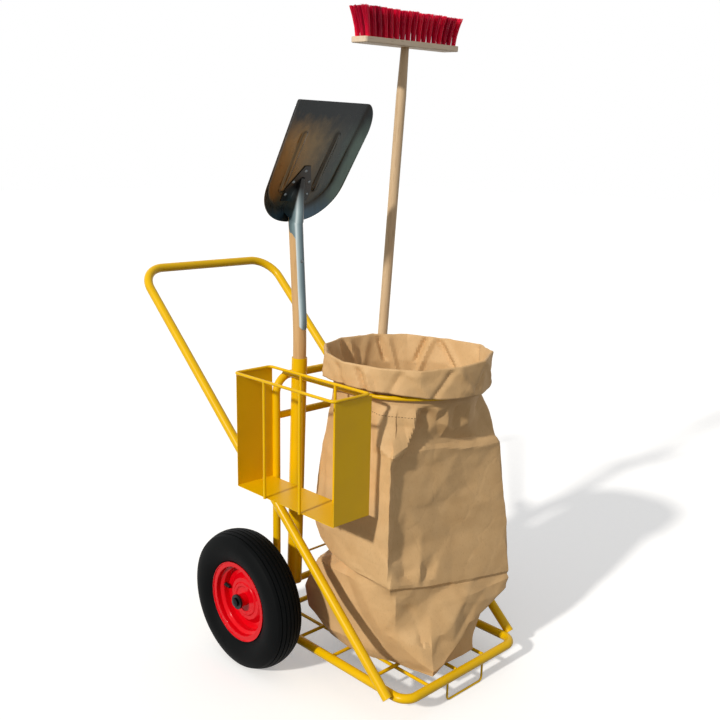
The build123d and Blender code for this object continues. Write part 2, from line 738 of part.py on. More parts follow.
def sack_section(z, left, right, front_left, front_right, back, corner):
    """Four-sided section with rounded edges, measured from the hoop's middle."""
    corners = [(-left, -front_left), (right, -front_right), (right, back), (-left, back)]
    return Pos(0, hoop_y, z) * make_face(FilletPolyline(*corners, radius=corner, close=True).edges())


def sack_ring(radius, z):
    """Nearly round section about the hoop's middle, with short flats, inside a radius."""
    half = radius - SACK_FLAT * (math.sqrt(2) - 1)
    return sack_section(z, half, half, half, half, half, half - SACK_FLAT)


def sack_body(inset):
    """Outer or inner form of the sack below its cuff: foot, heel, fold, shoulder and neck."""
    panels = [
        sack_section(
            sack_foot_z + inset, SACK_FOOT_LEFT, SACK_FOOT_RIGHT, SACK_FOOT_FRONT_LEFT, SACK_FOOT_FRONT_RIGHT,
            SACK_FOOT_BACK, SACK_FOOT_ROUND,
        ),
        sack_section(
            sack_foot_z + SACK_HEEL_RISE, SACK_HEEL_LEFT, SACK_HEEL_RIGHT, SACK_HEEL_FRONT_LEFT,
            SACK_HEEL_FRONT_RIGHT, SACK_HEEL_BACK, SACK_HEEL_ROUND,
        ),
        sack_section(
            sack_foot_z + SACK_FOLD_RISE, SACK_FOLD_LEFT, SACK_FOLD_RIGHT, SACK_FOLD_FRONT_LEFT,
            SACK_FOLD_FRONT_RIGHT, SACK_FOLD_BACK, SACK_FOLD_ROUND,
        ),
        sack_section(
            hoop_z - SACK_SHOULDER_DROP, SACK_SHOULDER_LEFT, SACK_SHOULDER_RIGHT, SACK_SHOULDER_FRONT_LEFT,
            SACK_SHOULDER_FRONT_RIGHT, SACK_SHOULDER_BACK, SACK_SHOULDER_ROUND,
        ),
    ]
    walls = [offset(panel, -inset) for panel in panels] if inset else panels
    neck = [sack_ring(neck_radius - inset, neck_z), sack_ring(neck_radius - inset, cuff_foot_z)]
    return loft(walls + neck, ruled=True)


def cuff_form(inset):
    """Outer or inner form of the turned-down mouth, rolled in at the top."""
    roll_z = cuff_top_z - CUFF_ROLL
    sections = [
        sack_ring(CUFF_RADIUS - inset, cuff_foot_z),
        sack_ring(CUFF_RADIUS - inset, roll_z),
        sack_ring(CUFF_RADIUS - CUFF_ROLL - inset, cuff_top_z - inset),
    ]
    return loft(sections, ruled=True)


def make_sack():
    """Open paper sack: lofted body, mouth and the skirt that hangs at the front."""
    cuff_height = cuff_top_z - cuff_foot_z
    throat = extrude(sack_ring(neck_radius, cuff_foot_z), cuff_height)
    mouth = extrude(sack_ring(neck_radius - SACK_WALL, cuff_foot_z), cuff_height)
    cuff = cuff_form(0) - (cuff_form(SACK_WALL) - throat) - mouth
    skirt_height = HOOP_ROD / 2 + CUFF_CLEARANCE + SKIRT_DROP
    skirt_band = sack_ring(CUFF_RADIUS, cuff_foot_z) - sack_ring(CUFF_RADIUS - SACK_WALL, cuff_foot_z)
    reach = 2 * CUFF_RADIUS
    middle = (SKIRT_RIGHT_ANGLE - SKIRT_LEFT_ANGLE) / 2
    rays = [math.radians(angle) for angle in (-SKIRT_LEFT_ANGLE, middle, SKIRT_RIGHT_ANGLE)]
    corners = [(reach * math.sin(ray), hoop_y - reach * math.cos(ray)) for ray in rays]
    sector = Pos(0, 0, cuff_foot_z) * make_face(Polyline((0, hoop_y), *corners, close=True).edges())
    skirt = extrude(skirt_band & sector, -skirt_height)
    return sack_body(0) - sack_body(SACK_WALL) + cuff + skirt


# Shovel that stands in its socket
def seat_on_axle(centre, axis, radius):
    """End of a tool handle that stands on the axle at the foot of its socket."""
    below = at_height(centre, axis, axle_height)
    over_axle = Vector(below.X, 0, axle_height)
    tilt = radius * abs(axis.X)
    return centre + axis * ((over_axle - centre).dot(axis) + AXLE_DIAMETER / 2 + SEAT_GAP + tilt)


shaft_tilt = math.radians(SHAFT_BEND_ANGLE) - lean
shaft_up = Vector(0, math.sin(shaft_tilt), math.cos(shaft_tilt))
shaft_tangent = SHAFT_BEND_RADIUS * math.tan(math.radians(SHAFT_BEND_ANGLE) / 2)
shaft_foot = seat_on_axle(shovel_centre, shovel_axis, SHAFT_DIAMETER / 2)
shaft_corner = shaft_foot + shovel_axis * (SHAFT_STRAIGHT + shaft_tangent)
shaft_end = shaft_corner + shaft_up * (shaft_tangent + SHAFT_TOP_RUN)
shaft_line = [shaft_foot, shaft_corner, shaft_end]

# Frames at the blade's root: one on the shaft's front, one on the blade's hollow face
blade_lean = math.radians(BLADE_LEAN)
strap_frame = Plane(
    origin=shaft_end, x_dir=(1, 0, 0), z_dir=(0, -math.cos(shaft_tilt), math.sin(shaft_tilt))
)
blade_normal = Vector(0, -math.cos(blade_lean), -math.sin(blade_lean))
blade_frame = Plane(origin=shaft_end - blade_normal * BLADE_DEPTH, x_dir=(1, 0, 0), z_dir=blade_normal)
sleeve_radius = SHAFT_DIAMETER / 2 + WELD_GAP + STRAP_SHEET
shaft_angle = blade_lean + shaft_tilt
ridge_width = 2 * (sleeve_radius + RIDGE_OVERLAP)
ridge_height = BLADE_DEPTH + RIDGE_BACK * math.tan(shaft_angle) + ridge_width / 2 / math.cos(shaft_angle)
frog_z = WELD_GAP
rivet_places = [
    (side * spread, reach)
    for spread, reach in zip(RIVET_SPREADS, RIVET_REACHES)
    for side in ((1, -1) if spread else (1,))
]


def ridge_section(y, width, side, height, z):
    """Section of the ridge on the frog, across the blade: upright sides under an arch."""
    half = width / 2
    arc = ThreePointArc((half, side), (0, height), (-half, side))
    walls = Polyline((-half, side), (-half, 0), (half, 0), (half, side))
    face = make_face(arc.edges() + walls.edges())
    return Plane(origin=(0, y, z), x_dir=(1, 0, 0), z_dir=(0, -1, 0)) * face


def ridge_form(inset):
    """Outer or inner form of the ridge, from the shaft to its tip."""
    root_side = ridge_height - ridge_width / 2
    tip_width = RIDGE_TIP_WIDTH - 2 * inset
    root = ridge_section(-RIDGE_BACK, ridge_width - 2 * inset, root_side, ridge_height - inset, frog_z)
    tip = ridge_section(RIDGE_LENGTH, tip_width, RIDGE_TIP_SIDE, RIDGE_TIP_HEIGHT - inset, frog_z)
    return loft([root, tip], ruled=True)


def make_shaft():
    """Wooden handle, straight in the socket and gently bent above it."""
    wood = rod(shaft_line, SHAFT_DIAMETER, SHAFT_BEND_RADIUS)
    above = Pos(0, -RIDGE_BACK - SEAT_GAP, 0) * Box(
        BLADE_EDGE_WIDTH, BLADE_LENGTH, BLADE_LENGTH, align=(Align.CENTER, Align.MIN, Align.CENTER)
    )
    return wood - blade_frame * above - strap_rivet_drill()


def strap_rivet_frame():
    """Frame of the rivet through the strap, on the strap's face."""
    return strap_frame * Pos(0, -STRAP_RIVET_DROP, sleeve_radius)


def strap_rivet_drill():
    """Hole for the strap's rivet."""
    return strap_rivet_frame() * Cylinder(RIVET_DIAMETER / 2 + DRILL_GAP, 2 * STRAP_RIVET_DEPTH + SEAT_GAP)


def blade_outline(inset):
    """Floor of the blade: round shoulders at the back, a wide edge at the front."""
    rear = BLADE_FLOOR_WIDTH / 2
    edge = BLADE_EDGE_WIDTH / 2
    corners = [(-rear, 0), (rear, 0), (edge, BLADE_LENGTH), (-edge, BLADE_LENGTH)]
    rounds = [BLADE_SHOULDER, BLADE_SHOULDER, BLADE_EDGE_ROUND, BLADE_EDGE_ROUND]
    outline = make_face(FilletPolyline(*corners, radius=rounds, close=True).edges())
    return offset(outline, -inset) if inset else outline


def make_blade():
    """Pressed blade: flared walls that round off at the cutting edge, and two ribs."""
    floor_z = -BLADE_SHEET
    dish = Pos(0, 0, floor_z) * extrude(blade_outline(0), BLADE_WALL_HEIGHT, taper=-BLADE_FLARE)
    hollow = extrude(blade_outline(BLADE_SHEET), BLADE_WALL_HEIGHT, taper=-BLADE_FLARE)
    start = -2 * BLADE_WALL_HEIGHT
    stop = BLADE_LENGTH + 2 * BLADE_WALL_HEIGHT
    turn_y = BLADE_LENGTH - BLADE_CORNER_LENGTH
    side_rim = Line((start, BLADE_WALL_HEIGHT), (turn_y, BLADE_CORNER_HEIGHT))
    corner = EllipticalCenterArc((turn_y, 0), BLADE_CORNER_LENGTH, BLADE_CORNER_HEIGHT, arc_size=90)
    outside = Polyline(
        (BLADE_LENGTH, 0), (stop, 0), (stop, 2 * BLADE_WALL_HEIGHT), (start, 2 * BLADE_WALL_HEIGHT),
        (start, BLADE_WALL_HEIGHT),
    )
    rim_face = Plane.YZ * make_face(side_rim.edges() + corner.edges() + outside.edges())
    above = extrude(rim_face, BLADE_EDGE_WIDTH, both=True)
    blade = dish - hollow - Pos(0, 0, floor_z) * above
    for side in (1, -1):
        slot = SlotOverall(BLADE_RIB_LENGTH, BLADE_RIB_WIDTH, rotation=90)
        rib = extrude(slot, BLADE_RIB_RISE, taper=BLADE_RIB_DRAFT)
        blade += Pos(side * BLADE_RIB_SPACING / 2, BLADE_RIB_START + BLADE_RIB_LENGTH / 2, 0) * rib
    root_width = ridge_width + 2 * WELD_GAP
    root = ridge_section(RIDGE_BACK, root_width, BLADE_DEPTH, ridge_height + WELD_GAP, 0)
    blade -= extrude(root, 2 * BLADE_WALL_HEIGHT)
    for x, y in rivet_places:
        blade -= Pos(x, y, 0) * Cylinder(RIVET_DIAMETER / 2 + DRILL_GAP, 2 * BLADE_WALL_HEIGHT)
    return blade_frame * blade - weld_cut(shaft_line, 2 * sleeve_radius, SHAFT_BEND_RADIUS)


def make_strap():
    """Steel strap: a tongue down the shaft, a half sleeve and the riveted frog on the blade."""
    inner = rod(shaft_line, SHAFT_DIAMETER + 2 * WELD_GAP, SHAFT_BEND_RADIUS)
    sleeve = rod(shaft_line, 2 * sleeve_radius, SHAFT_BEND_RADIUS) - inner
    half = STRAP_WIDTH / 2
    wrap = sleeve_radius + WELD_GAP
    tongue_y = -STRAP_LENGTH + half
    wrap_y = -STRAP_WRAP_LENGTH
    sides = Polyline(
        (half, tongue_y), (half, wrap_y), (wrap, wrap_y + STRAP_WRAP_TAPER), (wrap, 0),
        (-wrap, 0), (-wrap, wrap_y + STRAP_WRAP_TAPER), (-half, wrap_y), (-half, tongue_y),
    )
    tongue = ThreePointArc((-half, tongue_y), (0, -STRAP_LENGTH), (half, tongue_y))
    outline = make_face(sides.edges() + tongue.edges())
    front = Pos(0, 0, -STRAP_WRAP_BACK) * extrude(outline, SHAFT_DIAMETER)
    strap = sleeve & (strap_frame * front)
    tip = FROG_TIP_WIDTH / 2
    side = FROG_WIDTH / 2
    plate_line = [
        (-side, FROG_START),
        (side, FROG_START),
        (side, FROG_START + FROG_SIDE),
        (tip, FROG_LENGTH),
        (-tip, FROG_LENGTH),
        (-side, FROG_START + FROG_SIDE),
    ]
    plate = extrude(make_face(Polyline(*plate_line, close=True).edges()), FROG_SHEET)
    frog = Pos(0, 0, frog_z) * plate + ridge_form(0) - ridge_form(STRAP_SHEET)
    for x, y in rivet_places:
        frog -= Pos(x, y, 0) * Cylinder(RIVET_DIAMETER / 2 + DRILL_GAP, 2 * FROG_SHEET + 2 * RIVET_DIAMETER)
    return strap + blade_frame * frog - strap_rivet_drill()


def make_rivet(depth):
    """Round-headed rivet, with its head on the face that it clamps."""
    radius = (RIVET_HEAD_DIAMETER**2 / 4 + RIVET_HEAD_HEIGHT**2) / (2 * RIVET_HEAD_HEIGHT)
    cover = Box(4 * radius, 4 * radius, 4 * radius, align=(Align.CENTER, Align.CENTER, Align.MAX))
    head = Pos(0, 0, RIVET_HEAD_HEIGHT - radius) * Sphere(radius) - cover
    shank = Pos(0, 0, -depth) * Cylinder(RIVET_DIAMETER / 2, depth, align=ON_TOP)
    return Pos(0, 0, WELD_GAP) * (head + shank)


def make_rivets():
    """Rivets of the frog and of the strap."""
    grip = FROG_SHEET + WELD_GAP + BLADE_SHEET
    on_frog = blade_frame * Pos(0, 0, frog_z + FROG_SHEET)
    frog_rivets = [(on_frog * Pos(x, y, 0) * make_rivet(grip)).solid() for x, y in rivet_places]
    strap_rivet = strap_rivet_frame() * make_rivet(STRAP_RIVET_DEPTH)
    return Compound(frog_rivets + [strap_rivet.solid()])


# Broom that stands in its socket
stick_foot = seat_on_axle(broom_centre, broom_axis, STICK_DIAMETER / 2)
stick_top = stick_foot + broom_axis * STICK_LENGTH
turn = math.radians(BLOCK_TURN)
rise = math.radians(BLOCK_RISE)
block_along = Vector(math.cos(turn) * math.cos(rise), math.sin(turn) * math.cos(rise), math.sin(rise))
block_up = (broom_axis - block_along * broom_axis.dot(block_along)).normalized()
block_frame = Plane(
    origin=stick_top - broom_axis * BLOCK_HOLE_DEPTH + block_along * BLOCK_SHIFT,
    x_dir=block_along,
    z_dir=block_up,
)
block_height = BLOCK_THICKNESS - BRISTLE_SLICE


def make_stick():
    """Turned wooden stick with a tapered end for the block."""
    straight = STICK_LENGTH - STICK_TAPER_LENGTH - STICK_TIP_LENGTH
    body = Cylinder(STICK_DIAMETER / 2, straight, align=ON_TOP)
    taper = Cone(STICK_DIAMETER / 2, STICK_TIP_DIAMETER / 2, STICK_TAPER_LENGTH, align=ON_TOP)
    tip = Cylinder(STICK_TIP_DIAMETER / 2, STICK_TIP_LENGTH, align=ON_TOP)
    stick = body + Pos(0, 0, straight) * taper + Pos(0, 0, straight + STICK_TAPER_LENGTH) * tip
    return Plane(origin=stick_foot, z_dir=broom_axis) * stick


def make_block():
    """Wooden block of the broom, with the hole for the stick."""
    wood = extrude(RectangleRounded(BLOCK_LENGTH, BLOCK_WIDTH, BLOCK_END_ROUND), block_height)
    wood = fillet(wood.faces().sort_by(Axis.Z)[0].edges(), BLOCK_EDGE_ROUND)
    hole_length = BLOCK_HOLE_DEPTH + BLOCK_THICKNESS
    hole_start = stick_top - broom_axis * hole_length
    hole = pin(hole_start, broom_axis, STICK_TIP_DIAMETER + 2 * WELD_GAP, hole_length + WELD_GAP)
    return block_frame * wood - hole


def make_bristles():
    """Flared rows of bristles on a slice of the block's face."""
    half_length = BLOCK_LENGTH / 2 - BRISTLE_MARGIN
    half_width = BLOCK_WIDTH / 2 - BRISTLE_MARGIN
    slab = extrude(RectangleRounded(BLOCK_LENGTH, BLOCK_WIDTH, BLOCK_END_ROUND), BRISTLE_SLICE)
    section = RegularPolygon(BRISTLE_THICKNESS / 2, 3).face()
    strands = []
    for column in range(BRISTLE_COLUMNS):
        over = 2 * column / (BRISTLE_COLUMNS - 1) - 1
        for row in range(BRISTLE_ROWS):
            aside = 2 * row / (BRISTLE_ROWS - 1) - 1
            foot = Pos(over * half_length, aside * half_width, BRISTLE_SLICE / 2) * section
            reach = (over * BRISTLE_FLARE, aside * BRISTLE_SPREAD, BRISTLE_LENGTH + BRISTLE_SLICE / 2)
            strands.append(Solid.extrude(foot, reach))
    brush = Part(slab.solid().fuse(*strands).wrapped)
    return block_frame * Pos(0, 0, block_height + WELD_GAP) * brush


# Every node of the cart by name
nodes = {
    "push_handle": make_handle(),
    "strut_right": make_strut(),
    "handle_bolts": make_bolts(),
    "handle_nuts": make_nuts(),
    "tube_end_plugs": make_plugs(),
    "base_frame": make_base_frame(),
    "base_rear_bar": make_cross_bar(rear_bar_y, rear_bar_z, REAR_BAR_DIAMETER),
    "front_foot": make_foot(),
    "arch": make_arch(),
    "arch_post_right": make_post(),
    "arch_crossbar": make_crossbar(),
    "shovel_socket": make_socket(
        shovel_centre, shovel_axis, SHOVEL_SOCKET_DIAMETER, SHOVEL_SOCKET_RISE
    ),
    "broom_socket": make_socket(broom_centre, broom_axis, BROOM_SOCKET_DIAMETER, BROOM_SOCKET_RISE),
    "socket_tie_rod": make_tie_rod(),
    "sack_hoop": make_hoop(),
    "tray_sheet": make_tray_sheet(),
    "tray_rim": make_tray_rim(),
    "axle": make_axle(),
    "axle_collars": make_collars(),
    "axle_caps": make_caps(),
    "paper_sack": make_sack(),
    "shovel_handle": make_shaft(),
    "shovel_blade": make_blade(),
    "shovel_strap": make_strap(),
    "shovel_rivets": make_rivets(),
    "broom_stick": make_stick(),
    "broom_block": make_block(),
    "broom_bristles": make_bristles(),
}
nodes["strut_left"] = other_side(nodes["strut_right"])
nodes["arch_post_left"] = other_side(nodes["arch_post_right"])
cross_bar_reaches = (CROSS_BAR_REAR_REACH, CROSS_BAR_MIDDLE_REACH, CROSS_BAR_FRONT_REACH)
for number, reach in enumerate(cross_bar_reaches, 1):
    nodes[f"base_cross_bar_{number}"] = make_cross_bar(-reach, BASE_HEIGHT, CROSS_BAR_DIAMETER)
for name, offset_x in (("left", -LONG_BAR_SPACING), ("middle", 0), ("right", LONG_BAR_SPACING)):
    nodes[f"base_long_bar_{name}"] = make_long_bar(offset_x)
floor_top_z = TRAY_FLOOR_HEIGHT + TRAY_SHEET + WELD_GAP
for name, reach in (("rear", TRAY_OUTER_BAR_REAR), ("front", TRAY_OUTER_BAR_FRONT)):
    nodes[f"tray_outer_bar_{name}"] = make_tray_bar(rim_outer_x, reach, TRAY_FLOOR_HEIGHT)
for name, reach in (("rear", TRAY_INNER_BAR_REAR), ("front", TRAY_INNER_BAR_FRONT)):
    nodes[f"tray_inner_bar_{name}"] = make_tray_bar(rim_inner_x, reach, floor_top_z)
wheel = {
    "tyre": make_tyre(),
    "inner_tube": make_inner_tube(),
    "rim": make_rim(),
    "hub": make_hub(),
    "bushes": make_bushes(),
    "valve": make_valve(),
}
for name, piece in wheel.items():
    placed = Pos(TRACK_WIDTH / 2, 0, axle_height) * piece
    nodes[f"right_{name}"] = placed
    nodes[f"left_{name}"] = other_side(placed)

os.makedirs("parts", exist_ok=True)
for name, piece in nodes.items():
    export_step(piece, f"parts/{name}.step")
print(len(nodes), "nodes written")
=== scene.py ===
# %% [markdown]
# # A cleaning cart
# A street cleaner's cart is a frame of bent yellow tube on two barrow wheels. It holds a paper
# sack open in a hoop, and carries a shovel, a broom and a small tray of hand tools. The solids
# of its frame arrive ready made and keep their places. This lesson gives them their finishes and
# models what is soft or fine: the creased paper, the pressed blade and the bristles.

import json
import math
import random

import bmesh
import bpy
from mathutils import Matrix, Vector, geometry, noise
from mathutils.bvhtree import BVHTree


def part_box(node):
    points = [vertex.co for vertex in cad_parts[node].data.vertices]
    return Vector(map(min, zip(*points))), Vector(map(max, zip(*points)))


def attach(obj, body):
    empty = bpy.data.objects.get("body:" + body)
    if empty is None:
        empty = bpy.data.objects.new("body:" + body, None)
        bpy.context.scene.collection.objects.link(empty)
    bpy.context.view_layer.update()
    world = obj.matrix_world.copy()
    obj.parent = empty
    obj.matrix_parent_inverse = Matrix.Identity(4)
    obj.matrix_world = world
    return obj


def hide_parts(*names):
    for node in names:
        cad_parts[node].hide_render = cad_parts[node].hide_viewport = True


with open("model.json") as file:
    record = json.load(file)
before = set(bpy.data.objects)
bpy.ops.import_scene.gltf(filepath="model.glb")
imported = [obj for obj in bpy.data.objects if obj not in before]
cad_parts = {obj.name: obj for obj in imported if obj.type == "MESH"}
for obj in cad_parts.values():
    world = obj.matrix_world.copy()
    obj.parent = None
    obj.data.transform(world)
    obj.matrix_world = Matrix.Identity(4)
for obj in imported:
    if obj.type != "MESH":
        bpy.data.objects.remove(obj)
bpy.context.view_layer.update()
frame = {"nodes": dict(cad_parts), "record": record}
nodes = frame["nodes"]
MM = 0.001

# %% [markdown]
# ## Camera
# A photograph of a real thing can be matched by turning its lens into pixels: a focal length
# of some 900 pixels across a 720 pixel frame is a 45 mm lens on a 36 mm sensor. The picture was
# cropped off centre, and the camera's shift puts that back without turning the view. The other
# way, aiming the camera until the object fits, would bend every vertical a little.

# %% Camera
IMAGE_WIDTH = 720
SENSOR = 36.0
FOCAL_PIXELS = 899.7
CENTRE_PIXEL = Vector((344.5, 407.1))
CAMERA_PLACE = Vector((-1727.1, -1850.0, 1405.9)) * MM
CAMERA_AZIMUTH = math.radians(-43.45)
CAMERA_ELEVATION = math.radians(15.63)
CAMERA_ROLL = math.radians(0.97)

lens = bpy.data.cameras.new("lens")
lens.sensor_width = SENSOR
lens.lens = FOCAL_PIXELS / IMAGE_WIDTH * SENSOR
lens.shift_x = 0.5 - CENTRE_PIXEL.x / IMAGE_WIDTH
lens.shift_y = CENTRE_PIXEL.y / IMAGE_WIDTH - 0.5
camera = bpy.data.objects.new("camera", lens)
bpy.context.scene.collection.objects.link(camera)
flat_share = math.cos(CAMERA_ELEVATION)
camera_back = Vector((
    math.sin(CAMERA_AZIMUTH) * flat_share,
    -math.cos(CAMERA_AZIMUTH) * flat_share,
    math.sin(CAMERA_ELEVATION),
))
upright = (-camera_back).to_track_quat("-Z", "Y").to_matrix()
roll = Matrix.Rotation(CAMERA_ROLL, 3, "Z")
camera.matrix_world = Matrix.Translation(CAMERA_PLACE) @ (upright @ roll).to_4x4()
bpy.context.scene.camera = camera
bpy.context.scene.view_settings.view_transform = "Standard"
print("lens", round(lens.lens, 2), "mm, shift", round(lens.shift_x, 4), round(lens.shift_y, 4))

# %% [markdown]
# ## Nodes and colours
# Every finish below is a small tree of shader nodes. One function adds a node with its settings and
# links, so that each finish reads as a list of what it is made of. Inputs are named, except those of
# the Mix and Math nodes, which share names and go by number: 6 and 7 are the two colours of a Mix.
# Colours are written as the hex values that a paint card or a picture editor shows, and one function
# makes them linear, because light adds up in linear numbers. Hardly any real finish has one even
# colour, so one more function mixes two tones in clouds of a given size.

# %% Node and colour helpers
def srgb(hex_colour):
    """Linear RGBA of an sRGB hex colour."""
    channels = [int(hex_colour[place:place + 2], 16) / 255 for place in (0, 2, 4)]
    linear = [c / 12.92 if c <= 0.04045 else ((c + 0.055) / 1.055) ** 2.4 for c in channels]
    return (*linear, 1.0)


def fill(tree, filled, inputs):
    """The inputs of a node, as links where they come from other nodes and as values elsewhere."""
    for name, value in inputs.items():
        if isinstance(value, bpy.types.NodeSocket):
            tree.links.new(value, filled.inputs[name])
        else:
            filled.inputs[name].default_value = value


def add_node(tree, kind, inputs, **settings):
    """One node with its settings and its inputs."""
    made = tree.nodes.new(kind)
    for name, value in settings.items():
        setattr(made, name, value)
    fill(tree, made, inputs)
    return made


def new_finish(name):
    """An empty material, its tree, its shader and the object's own coordinates."""
    material = bpy.data.materials.new(name)
    material.use_nodes = True
    tree = material.node_tree
    shader = tree.nodes["Principled BSDF"]
    place = add_node(tree, "ShaderNodeTexCoord", {}).outputs["Object"]
    return material, tree, shader, place


def per_metre(size_mm):
    """Texture scale at which one period of a pattern has a size in millimetres."""
    return 1000.0 / size_mm


def mottled(tree, place, size_mm, detail, dark, light):
    """Clouds of a size in mm, and the colour that they mix from a dark and a light tone."""
    cloud = add_node(tree, "ShaderNodeTexNoise", {
        "Vector": place, "Scale": per_metre(size_mm), "Detail": detail}).outputs["Fac"]
    tone = add_node(tree, "ShaderNodeMix", {0: cloud, 6: srgb(dark), 7: srgb(light)}, data_type="RGBA")
    return cloud, tone.outputs[2]


print("half of full sRGB is", round(srgb("808080")[0], 3), "of full light")

# %% [markdown]
# ## Floor and light
# The cart stood outdoors in the sun, and the picture was cut out on white. A plain pale floor and
# a white sky give the same background. One soft sun from the left makes the shadows that show
# the form, and the sky fills them. The sun could be a hard one, but a studio's softer edge suits
# a part that will be seen in other light too. The floor is pale where it is seen, and greyer for
# the light that it throws back, as paving is, so that undersides stay dark.

# %% Sky
SKY_STRENGTH = 0.47

scene_world = bpy.data.worlds.new("sky")
bpy.context.scene.world = scene_world
scene_world.use_nodes = True
sky = scene_world.node_tree
sky.nodes.clear()


def seen_directly(tree):
    """1 for what the camera, a reflection or a clear body shows, and 0 for light on its way."""
    path = add_node(tree, "ShaderNodeLightPath", {})
    mirror = add_node(tree, "ShaderNodeMath", {
        0: path.outputs["Is Camera Ray"], 1: path.outputs["Is Glossy Ray"]}, operation="MAXIMUM")
    clear = add_node(tree, "ShaderNodeMath", {
        0: mirror.outputs[0], 1: path.outputs["Is Transmission Ray"]}, operation="MAXIMUM")
    return clear.outputs[0]


glow = add_node(sky, "ShaderNodeMapRange", {
    "Value": seen_directly(sky), "To Min": SKY_STRENGTH, "To Max": 1.0})
white_sky = add_node(sky, "ShaderNodeBackground", {"Color": srgb("ffffff"), "Strength": glow.outputs[0]})
add_node(sky, "ShaderNodeOutputWorld", {"Surface": white_sky.outputs[0]})
print("sky", SKY_STRENGTH)

# %% Floor
FLOOR_HALF = 30.0
FLOOR_LIFT = 0.3
FLOOR_SEEN = "f0f0f0"
FLOOR_BOUNCE = "626260"

floor_mesh = bmesh.new()
bmesh.ops.create_grid(floor_mesh, x_segments=1, y_segments=1, size=FLOOR_HALF)
floor_data = bpy.data.meshes.new("floor")
floor_mesh.to_mesh(floor_data)
floor_mesh.free()
floor = bpy.data.objects.new("floor", floor_data)
bpy.context.scene.collection.objects.link(floor)
pale_floor, tree, shader, _ = new_finish("pale floor")
floor_tone = add_node(tree, "ShaderNodeMix", {
    0: seen_directly(tree), 6: srgb(FLOOR_BOUNCE), 7: srgb(FLOOR_SEEN)}, data_type="RGBA")
floor_glow = add_node(tree, "ShaderNodeMath", {0: seen_directly(tree), 1: FLOOR_LIFT}, operation="MULTIPLY")
fill(tree, shader, {
    "Base Color": floor_tone.outputs[2], "Emission Strength": floor_glow.outputs[0],
    "Emission Color": srgb("ffffff"), "Roughness": 0.9, "Specular IOR Level": 0.1})
floor_data.materials.append(pale_floor)
print("floor", 2 * FLOOR_HALF, "m across")

# %% Sun
SUN_STRENGTH = 2.8
SUN_ANGLE = math.radians(3)
SUN_FROM = Vector((-0.86, -0.09, 0.5))

sun_data = bpy.data.lights.new("sun", "SUN")
sun_data.energy = SUN_STRENGTH
sun_data.angle = SUN_ANGLE
sun_data.color = srgb("fffaf2")[:3]
sun = bpy.data.objects.new("sun", sun_data)
sun.rotation_mode = "QUATERNION"
sun.rotation_quaternion = SUN_FROM.to_track_quat("Z", "Y")
bpy.context.scene.collection.objects.link(sun)
print("sun", SUN_STRENGTH)

# %% [markdown]
# ## Yellow powder coat
# The frame is sprayed with polyester powder and baked. Powder melts to a gloss skin that is not
# quite level: it has the fine dimples of orange peel, some 3 mm apart. A flat colour would look like
# plastic, so the dimples bend the reflections, and the yellow drifts a little between sprayed coats.

# %% Yellow powder coat
def powder_coat():
    material, tree, shader, place = new_finish("yellow powder coat")
    drift, coat = mottled(tree, place, 90, 3.0, "deae00", "ebbd02")
    peel = add_node(tree, "ShaderNodeTexNoise", {"Vector": place, "Scale": per_metre(3), "Detail": 2.0})
    dimples = add_node(tree, "ShaderNodeBump", {
        "Height": peel.outputs["Fac"], "Strength": 0.12, "Distance": 0.4 * MM})
    gloss = add_node(tree, "ShaderNodeMapRange", {"Value": drift, "To Min": 0.24, "To Max": 0.36})
    fill(tree, shader, {
        "Base Color": coat, "Roughness": gloss.outputs[0], "Normal": dimples.outputs[0],
        "IOR": 1.5, "Specular IOR Level": 0.18})
    return material


finish = {"yellow_paint": powder_coat()}
print("finish", finish["yellow_paint"].name)

# %% [markdown]
# ## Red wheel enamel
# Barrow rims are pressed from sheet and dipped in a gloss red enamel. Enamel is smoother than powder,
# so its highlights are tight, with only a faint waviness left from the pressing.

# %% Red wheel enamel
def wheel_enamel():
    material, tree, shader, place = new_finish("red wheel enamel")
    wave, coat = mottled(tree, place, 18, 2.0, "cf0211", "dd0517")
    ripple = add_node(tree, "ShaderNodeBump", {"Height": wave, "Strength": 0.1, "Distance": 0.5 * MM})
    fill(tree, shader, {
        "Base Color": coat, "Normal": ripple.outputs[0], "Roughness": 0.22, "IOR": 1.5,
        "Specular IOR Level": 0.14, "Coat Weight": 0.03, "Coat Roughness": 0.08})
    return material


finish["red_paint"] = wheel_enamel()
print("finish", finish["red_paint"].name)

# %% [markdown]
# ## Rubber and moulded plastic
# Tyre rubber is carbon black in a matt skin, a little dusty and paler where it is scuffed. The bushes
# are moulded nylon, smoother and faintly mottled. Both are nearly black, so what tells them apart is
# how the highlight spreads. The pores of the rubber are drawn 1.5 mm apart, coarser than real ones, so
# that they show.

# %% Rubber and moulded plastic
def tyre_rubber():
    material, tree, shader, place = new_finish("black tyre rubber")
    _, skin = mottled(tree, place, 45, 6.0, "060708", "0d0f10")
    grain = add_node(tree, "ShaderNodeTexNoise", {"Vector": place, "Scale": per_metre(1.5), "Detail": 2.0})
    pores = add_node(tree, "ShaderNodeBump", {
        "Height": grain.outputs["Fac"], "Strength": 0.25, "Distance": 0.3 * MM})
    fill(tree, shader, {
        "Base Color": skin, "Normal": pores.outputs[0], "Roughness": 0.6, "IOR": 1.52,
        "Specular IOR Level": 0.05})
    return material


def moulded_black(name, roughness):
    material, tree, shader, place = new_finish(name)
    _, skin = mottled(tree, place, 4, 3.0, "101213", "1c1f20")
    fill(tree, shader, {"Base Color": skin, "Roughness": roughness, "IOR": 1.52, "Specular IOR Level": 0.2})
    return material


finish["black_tyre"] = tyre_rubber()
finish["tube_rubber"] = moulded_black("valve rubber", 0.55)
finish["black_plastic"] = moulded_black("black nylon", 0.38)
print("finishes so far", len(finish))

